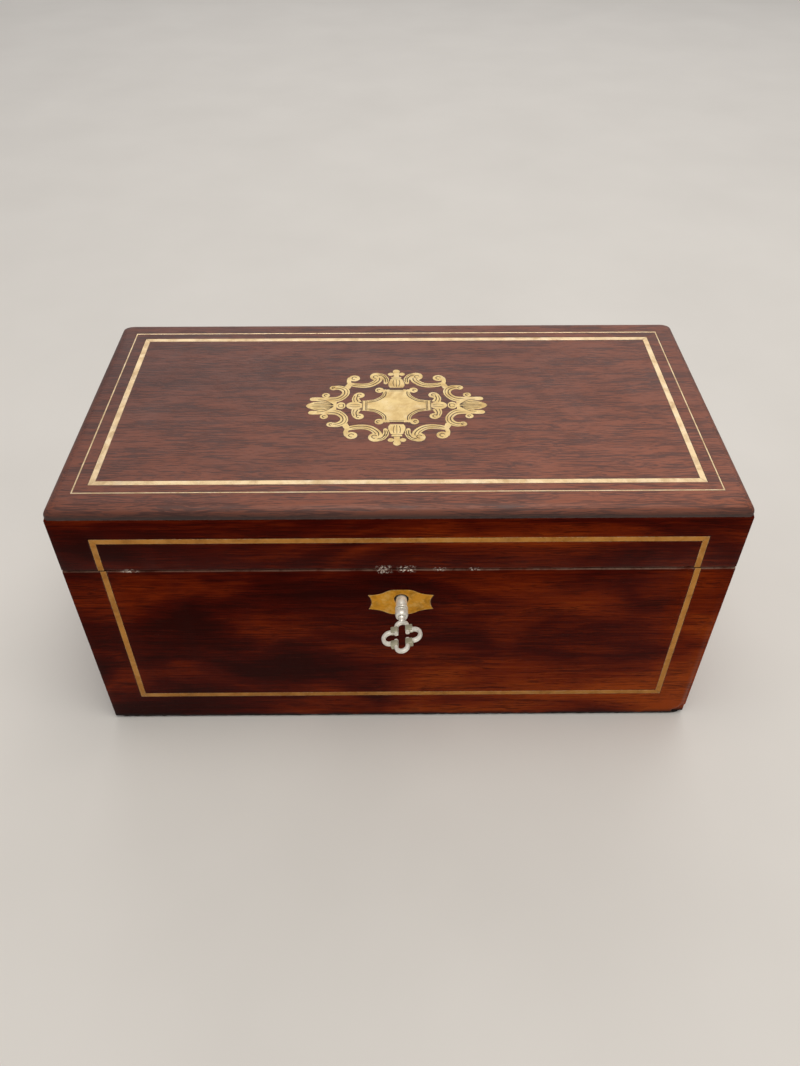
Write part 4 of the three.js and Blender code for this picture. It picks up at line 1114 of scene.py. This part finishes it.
def make_medallion():
    """The cut brass, and the dark filling of its engraved lines, which stands a hair proud of it."""
    points, found = tiles([placed_medallion(o) for o in medallion_outlines(0)])
    bm = bmesh.new()
    flat_solid(bm, points, [tri for tri, owners in found if owners], MEDALLION[0].z, INLAY_TOP)
    tidy_flats(bm, 0.2)
    soften(bm, rim_at(2, INLAY_TOP), 0.07 * MM, 1)
    piece("cut_brass_medallion", bm, PALE_BRASS, "lid", "pale_brass", "medallion")
    bm = bmesh.new()
    points, found = tiles([placed_medallion(o) for o in engraved_lines()])
    cut, proud = INLAY_TOP - 0.2 * MM, INLAY_TOP + 0.006 * MM
    flat_solid(bm, points, [tri for tri, owners in found if owners], cut, proud)
    tidy_flats(bm, 0.2)
    piece("medallion_engraving", bm, BLACK_WAX, "lid", "pale_brass")


def hand_laid(node, name, body, finish, slot, axis, seed):
    """A brass strip that a hand let in: slightly uneven in width and height, its edges just softened."""
    bm = copied(node)
    low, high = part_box(node)
    soften(bm, sharp, 0.07 * MM, 1)
    sliced(bm, axis, steps_between(low[axis], high[axis], 7 * MM, seed))
    settle = 4 * MM
    for vert in bm.verts:
        along = vert.co[axis]
        inside = min(1.0, (along - low[axis]) / settle, (high[axis] - along) / settle)
        for k in range(3):
            if k != axis and inside > 0:
                vert.co[k] += 0.045 * MM * inside * wobble((along * 90, k, 0), 1.0, seed)
    return piece(name, bm, finish, body, slot, node)


def make_stringing():
    """The broad brass strips of the top and of the front, and the fine line of the top."""
    for seed, (side, axis) in enumerate((("front", 0), ("back", 0), ("left", 1), ("right", 1))):
        hand_laid(f"top_band_{side}", f"top_stringing_{side}", "lid", STRIP_BRASS, "pale_brass", axis, seed)
    for seed, (node, axis, body) in enumerate((
        ("front_band_bottom", 0, "case"), ("front_band_left", 2, "case"), ("front_band_right", 2, "case"),
        ("lid_band_top", 0, "lid"), ("lid_band_left", 2, "lid"), ("lid_band_right", 2, "lid"),
    )):
        hand_laid(node, node.replace("band", "stringing"), body, GOLDEN_BRASS, "golden_brass", axis, seed + 5)
    bm = copied("top_fine_line")
    soften(bm, sharp, 0.05 * MM, 1)
    piece("top_thin_line", bm, STRIP_BRASS, "lid", "pale_brass", "top_fine_line")


# ---------------------------------------------------------------- escutcheon
ON_FRONT = Matrix(((1, 0, 0, 0), (0, 0, -1, 0), (0, 1, 0, 0), (0, 0, 0, 1)))
KEY_AXIS = Vector((0.7 * MM, FRONT, 81.4 * MM))


def hollow_curve(start, pull, end):
    """Points along a curve from start towards end that bends towards pull; the end point is left out."""
    count = 10
    points = []
    for k in range(count):
        t = k / count
        p, q, r = (1 - t) ** 2, 2 * t * (1 - t), t * t
        points.append(tuple(p * a + q * b + r * c for a, b, c in zip(start, pull, end)))
    return points


def make_escutcheon():
    """The keyhole plate, its crowned middle falling away in hollows to its corners, its rim brighter, partly
    rubbed and partly a painted glint.
    """
    low, high = ESCUTCHEON
    centre = (low + high) / 2
    x, middle = (high.x - low.x) / 2, (high.z - low.z) / 2
    end, flat, waist = 4.2 * MM, 2.4 * MM, 12.2 * MM
    crown, knee_x, knee_z = 4.6 * MM, 6.6 * MM, middle - 1.4 * MM
    pull_x, pull_z = 8.8 * MM, end + 0.3 * MM
    shoulder = hollow_curve((flat, middle), (crown, middle), (knee_x, knee_z))
    shoulder += hollow_curve((knee_x, knee_z), (pull_x, pull_z), (x, end))
    ending = hollow_curve((x, end), (2 * waist - x, 0), (x, -end)) + [(x, -end)]
    right = shoulder + ending + [(u, -v) for u, v in shoulder[::-1]]
    outline = right + [(-u, v) for u, v in right[::-1]]
    outline = [(centre.x + u, centre.z + v) for u, v in outline]
    bore, slot, foot = 3 * MM, 1.7 * MM, KEY_AXIS.z - 7.5 * MM
    hole = oval(KEY_AXIS.x, KEY_AXIS.z, bore, bore, 40)
    ward = bar(KEY_AXIS.x - slot, foot, KEY_AXIS.x + slot, KEY_AXIS.z)
    points, found = tiles([outline, hole, ward])
    bm = bmesh.new()
    flat_solid(bm, points, [tri for tri, owners in found if owners == {0}], -high.y, -low.y, ON_FRONT)
    tidy_flats(bm, 0.2)
    soften(bm, rim_at(1, low.y), 0.3 * MM, 3)
    piece("keyhole_plate", bm, PLATE_BRASS, "case", "golden_brass", "escutcheon")


# ---------------------------------------------------------------- key
KEY_TURNED, BOW_TURNED = radians(-7), radians(-13)
BOW_NEAR, BOW_FAR = 11.9 * MM, 28.3 * MM
BOW_MIDDLE, BOW_LONG, BOW_HALF = (BOW_NEAR + BOW_FAR) / 2, (BOW_FAR - BOW_NEAR) / 2, 8.3 * MM
BOW_WIRE, BOW_THICK, BOW_LOBE, SIDE_LOBE = 1.6 * MM, 2 * MM, 3.1 * MM, 3.7 * MM

# Turned shapes as (radius, distance) points, in millimetres. The key's distances are from the front.
SHANK = [
    (2.3, -4.2), (2.2, -3.9), (2.3, -3.6), (2.3, 4.4), (2.2, 4.58), (1.3, 4.6), (1.3, 10.35), (1.6, 10.4),
    (1.35, 11), (1.2, 11.6), (1.25, 12.2), (1.0, 12.9), (0.4, 13.2),
]
KEY_RINGS = [
    (1.5, 4.7), (2.35, 4.7), (2.52, 4.8), (2.62, 5.0), (2.62, 5.5), (2.5, 5.75), (2.32, 5.85), (2.32, 6.0),
    (2.5, 6.12), (2.62, 6.35), (2.62, 6.75), (2.5, 7.05), (2.36, 7.15), (2.4, 7.3), (2.6, 7.5), (2.68, 7.9),
    (2.64, 8.7), (2.5, 9.4), (2.25, 9.9), (2.05, 10.1), (1.8, 10.2), (1.5, 10.2),
]
KNOB = [
    (0.02, -3), (2, -3), (2, 0.1), (4.5, 0.1), (4.75, 0.3), (4.8, 0.8), (4.5, 1.2), (3.7, 1.35), (3.4, 1.6),
    (2.4, 2.0), (2.05, 2.7), (2.05, 3.4), (2.5, 4.1), (3.5, 4.7), (4.2, 5.3), (4.6, 6.1), (4.7, 6.9),
    (4.5, 7.6), (4.2, 8.2), (3.5, 8.8), (3.1, 8.95), (2.9, 9.2), (2.0, 9.6), (0.9, 9.78), (0.05, 9.8),
]


def along_key(turned_by):
    """Puts (x, up, distance from the front) on the key's axis, turned about it."""
    return (Matrix.Translation(KEY_AXIS) @ Matrix.Rotation(turned_by, 4, "Y")
            @ Matrix.Rotation(radians(90), 4, "X"))


KEY_PLACE, BOW_PLACE = along_key(KEY_TURNED), along_key(BOW_TURNED)


def swept(bm, path, width, height, place):
    """A bar of soft-cornered section along a flat path of (x, y) points."""
    sides, squareness = 12, 3.2
    rings = []
    for i, (x, y) in enumerate(path):
        u, v = leftwards(path[max(0, i - 1)], path[min(len(path) - 1, i + 1)])
        ring = []
        for k in range(sides):
            a = 2 * pi * k / sides
            out, up = cos(a), sin(a)
            swell = (abs(out) ** squareness + abs(up) ** squareness) ** (-1 / squareness)
            w, h = out * swell * width / 2, up * swell * height / 2
            ring.append(place @ Vector((x + u * w, h, y + v * w)))
        rings.append(ring)
    grid_of(bm, rings)


def soft_block(bm, low, high, place, radius):
    """A block with rounded edges."""
    corners = bmesh.ops.create_cube(bm, size=1.0)["verts"]
    for vert in corners:
        vert.co = place @ Vector([high[k] if vert.co[k] > 0 else low[k] for k in range(3)])
    round_off(bm, list({e for v in corners for e in v.link_edges}), radius, 2)


def bow_loop(bm, turn, reach, lobe):
    """One of the bow's four wires, looped out from the middle in the direction of the turn."""
    track, bend, root, count = lobe - BOW_WIRE / 2, reach - lobe, 1.6 * MM, 18
    arc = [(track * cos(pi * k / count), bend + track * sin(pi * k / count)) for k in range(count + 1)]
    c, s = cos(radians(turn)), sin(radians(turn))
    path = [(u * c - v * s, BOW_MIDDLE + u * s + v * c) for u, v in [(track, root), *arc, (-track, root)]]
    swept(bm, path, BOW_WIRE, BOW_THICK, BOW_PLACE)


def key_bit(bm):
    """The bit: three blocks side by side under the shank, the middle one cut back for the ward."""
    half, root, foot, cut_back = 0.7 * MM, 1.5 * MM, 7 * MM, 2.2 * MM
    for near, far, deep in ((4.2, 5.35, foot), (5.35, 7.0, foot - cut_back), (7.0, 8.2, foot)):
        low, high = (-half, -deep, (0.2 - far) * MM), (half, -root, (0.2 - near) * MM)
        soft_block(bm, low, high, KEY_PLACE, 0.12 * MM)


def make_key():
    """A pipe key whose bow is four looped wires, joined by square blocks round a cross-shaped opening."""
    bm = bmesh.new()
    tip = -(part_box("key")[1].y - FRONT) / MM
    pipe = [(1.25, -0.6), (1.25, tip), (2.15, tip), (2.3, 0.15 + tip)]
    turned(bm, [(r * MM, d * MM) for r, d in pipe + SHANK], KEY_PLACE)
    for turn, reach, lobe in ((0, BOW_LONG, BOW_LOBE), (90, BOW_HALF, SIDE_LOBE),
                              (180, BOW_LONG, BOW_LOBE), (270, BOW_HALF, SIDE_LOBE)):
        bow_loop(bm, turn, reach, lobe)
    key_bit(bm)
    piece("key_blank", bm, KEY_METAL, "key", "nickel", "key")
    bm = bmesh.new()
    for sx, sy in QUARTERS:
        xs = sorted((sx * 1.55 * MM, sx * 4.4 * MM))
        ys = sorted((BOW_MIDDLE + sy * 2.15 * MM, BOW_MIDDLE + sy * 4.9 * MM))
        soft_block(bm, (xs[0], -1.15 * MM, ys[0]), (xs[1], 1.15 * MM, ys[1]), BOW_PLACE, 0.28 * MM)
    piece("key_bow_blocks", bm, KEY_DULL, "key", "nickel")
    bm = bmesh.new()
    turned(bm, [(r * MM, d * MM) for r, d in KEY_RINGS], KEY_PLACE)
    piece("key_rings", bm, KEY_METAL, "key_collar", "nickel", "key_collar")


# ---------------------------------------------------------------- inside the box
def make_knobs():
    """The turned knobs of the inner lids, each with its peg."""
    for side in ("left", "right"):
        low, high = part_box(f"knob_{side}")
        base = Matrix.Translation(((low.x + high.x) / 2, 0, high.z - KNOB[-1][1] * MM))
        bm = bmesh.new()
        turned(bm, [(r * MM, d * MM) for r, d in KNOB], base, 36)
        piece(f"bone_knob_{side}", bm, BONE, f"inner_lid_{side}", "bone", f"knob_{side}")


def make_inner_lids():
    """The lift-out lids: each a board on a plug, with rounded edges."""
    for side in ("left", "right"):
        node = f"inner_lid_{side}"
        bm = copied(node)
        low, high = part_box(node)
        planes = ("x0", "x1", "y0", "y1", "z0", "z1")
        soften(bm, lambda e: on_outside(e, low, high, planes), 0.5 * MM, 3)
        piece(f"mahogany_inner_lid_{side}", bm, MAHOGANY_LONG, node, "mahogany", node)


def make_lining():
    """The velvet pad inside the lid: crowned, held down by rows of stitches, its edges tucked in."""
    low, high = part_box("lid_lining")
    across_x, across_y = 72, 36
    spacing, tuck, full = 31.0 * MM, 9 * MM, high.z - low.z
    bm = bmesh.new()
    rows = []
    for j in range(across_y + 1):
        row = []
        for i in range(across_x + 1):
            x = low.x + (high.x - low.x) * i / across_x
            y = low.y + (high.y - low.y) * j / across_y
            edge = min(x - low.x, high.x - x, y - low.y, high.y - y)
            rise = min(1.0, edge / tuck) ** 0.5
            seam = abs(sin(pi * (x + y) / spacing)) * abs(sin(pi * (x - y) / spacing))
            deep = full * (0.32 + 0.6 * rise * (0.25 + 0.75 * seam ** 0.45))
            deep += 0.12 * MM * wobble((x, y, 0), 120.0, 9) * rise
            row.append(bm.verts.new((x, y, high.z - deep)))
        rows.append(row)
    for j in range(across_y):
        for i in range(across_x):
            bm.faces.new((rows[j][i], rows[j][i + 1], rows[j + 1][i + 1], rows[j + 1][i]))
    rim = [e for e in bm.edges if len(e.link_faces) == 1]
    raised = bmesh.ops.extrude_edge_only(bm, edges=rim)["geom"]
    for made in raised:
        if isinstance(made, bmesh.types.BMVert):
            made.co.z = high.z
    bmesh.ops.contextual_create(bm, geom=[g for g in raised if isinstance(g, bmesh.types.BMEdge)])
    pad = piece("velvet_lining", bm, VELVET, "lid", "velvet", "lid_lining")
    make_braid(low, high)


def make_braid(low, high):
    """A twisted cord glued round the velvet, where it meets the boards."""
    inset, radius = 1.3 * MM, 1.0 * MM
    z = low.z + 0.1 * MM
    points = walked(rounded_rectangle(high.x - inset, high.y - inset, 3 * MM, 5), 0.7 * MM)
    sides, twist = 8, 0.55
    rings = []
    for i, (x, y) in enumerate(points):
        u, v = leftwards(points[i - 1], points[(i + 1) % len(points)])
        ring = []
        for k in range(sides):
            own = 2 * pi * k / sides
            a = own + i * twist
            r = radius * (0.82 + 0.18 * cos(2 * own))
            ring.append(Vector((x + u * r * cos(a), y + v * r * cos(a), z + r * sin(a))))
        rings.append(ring)
    bm = bmesh.new()
    grid_of(bm, rings, closed_path=True)
    piece("lining_cord", bm, VELVET, "lid", "velvet")


def make_base_felt():
    """Felt glued under the box, its cut edge ragged and its corners rubbed."""
    low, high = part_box("base_felt")
    points = []
    for x, y in walked(rounded_rectangle(high.x, high.y, 4 * MM, 5), 1.4 * MM):
        ragged = 1 + 0.0022 * wobble((x, y, 0), 420.0, 2) + 0.0022 * wobble((x, y, 0), 1500.0, 5)
        points.append((x * ragged, y * ragged))
    bm = bmesh.new()
    levels = ((-0.5, low.z), (0.0, low.z + 0.3 * MM), (0.1, low.z + 0.8 * MM), (-0.2, high.z))
    rings = []
    for out, z in levels:
        share = 1 + out * MM / high.x
        rings.append([Vector((x * share, y * share, z)) for x, y in points])
    grid_of(bm, rings)
    piece("felt_underside", bm, FELT, "case", "felt", "base_felt")


def refine(node, material, radius, segments=2):
    """Keeps a CAD node, merges its split corners, rounds its sharp edges and gives it a finish."""
    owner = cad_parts[node]
    owner.data.materials.clear()
    owner.data.materials.append(material)
    weld = owner.modifiers.new("weld", "WELD")
    weld.merge_threshold = 0.002 * MM
    if radius:
        bevel = owner.modifiers.new("bevel", "BEVEL")
        bevel.width = radius
        bevel.segments = segments
        bevel.limit_method = "ANGLE"
        bevel.angle_limit = radians(40)


def finish_fittings():
    """The pieces that keep their CAD shape: the inside woodwork, the foil, the hinges and the lock."""
    for node in ("bottom_board", "liner_front", "liner_back"):
        refine(node, MAHOGANY_LONG, 0.5 * MM)
    refine("divider", MAHOGANY_CROSS, 0.5 * MM)
    for side in ("left", "right"):
        refine(f"tea_lead_{side}", TEA_LEAD, 0.12 * MM)
        refine(f"hinge_pin_{side}", DARK_STEEL, 0.15 * MM)
        for leaf in ("case_hinge_leaf", "lid_hinge_leaf"):
            refine(f"{leaf}_{side}", LOCK_BRASS, 0.1 * MM, 1)
        for screw in ("lock_screw", "striker_screw"):
            refine(f"{screw}_{side}", LOCK_BRASS, 0.06 * MM, 1)
        for screw in ("case_leaf_screw", "lid_leaf_screw"):
            refine(f"{screw}_{side}_outer", LOCK_BRASS, 0.06 * MM, 1)
            refine(f"{screw}_{side}_inner", LOCK_BRASS, 0.06 * MM, 1)
    for node in ("lock_plate", "striker_plate", "lock_bolt"):
        refine(node, LOCK_BRASS, 0.12 * MM)
    refine("lock_case", DARK_STEEL, 0.12 * MM)
    refine("lock_spring", DARK_STEEL, 0.0)


# ---------------------------------------------------------------- camera, light and floor
LENS, SENSOR = 29.27, 36
CAMERA_PLACE = (-1.9 * MM, -314.9 * MM, 344.9 * MM)
LOOKS_DOWN, LOOKS_RIGHT = 42.72, 0.47


def make_camera():
    data = bpy.data.cameras.new("camera")
    data.lens = LENS
    data.sensor_width = SENSOR
    data.dof.use_dof = False
    camera = bpy.data.objects.new("camera", data)
    bpy.context.scene.collection.objects.link(camera)
    camera.location = CAMERA_PLACE
    camera.rotation_mode = "XYZ"
    camera.rotation_euler = (radians(90 - LOOKS_DOWN), 0, radians(-LOOKS_RIGHT))
    bpy.context.scene.camera = camera


def area_light(name, location, target, size, power, colour=(1, 1, 1)):
    data = bpy.data.lights.new(name, "AREA")
    data.shape = "RECTANGLE"
    data.size, data.size_y = size
    data.energy = power
    data.color = colour
    light = bpy.data.objects.new(name, data)
    bpy.context.scene.collection.objects.link(light)
    light.location = location
    light.rotation_mode = "QUATERNION"
    light.rotation_quaternion = (Vector(target) - Vector(location)).to_track_quat("-Z", "Y")


def make_studio():
    """A pale floor, a window behind, a soft light overhead and a weak one in front."""
    bm = bmesh.new()
    bmesh.ops.create_grid(bm, x_segments=1, y_segments=1, size=3.0)
    mesh = bpy.data.meshes.new("floor")
    bm.to_mesh(mesh)
    bm.free()
    mesh.materials.append(pale_floor())
    ground = bpy.data.objects.new("floor", mesh)
    bpy.context.scene.collection.objects.link(ground)
    area_light("window", (0.25, 1.35, 1.1), (0, 0, 0.08), (2.4, 1.1), 8.0, (1.0, 0.98, 0.96))
    area_light("overhead", (0.1, -0.2, 1.4), (0, 0, 0.1), (0.9, 0.9), 11.0, (1.0, 0.96, 0.9))
    area_light("front_fill", (0.5, -1.4, 0.6), (0, 0, 0.06), (0.8, 0.5), 2.2, (1.0, 0.93, 0.84))
    world = bpy.data.worlds.new("studio")
    world.use_nodes = True
    background = world.node_tree.nodes["Background"]
    background.inputs["Color"].default_value = (0.95, 0.95, 0.97, 1)
    background.inputs["Strength"].default_value = 0.42
    bpy.context.scene.world = world
    bpy.context.scene.view_settings.view_transform = "Standard"


make_camera()
make_studio()
make_boards()
make_top_board()
make_medallion()
make_stringing()
make_escutcheon()
make_key()
make_knobs()
make_inner_lids()
make_lining()
make_base_felt()
finish_fittings()
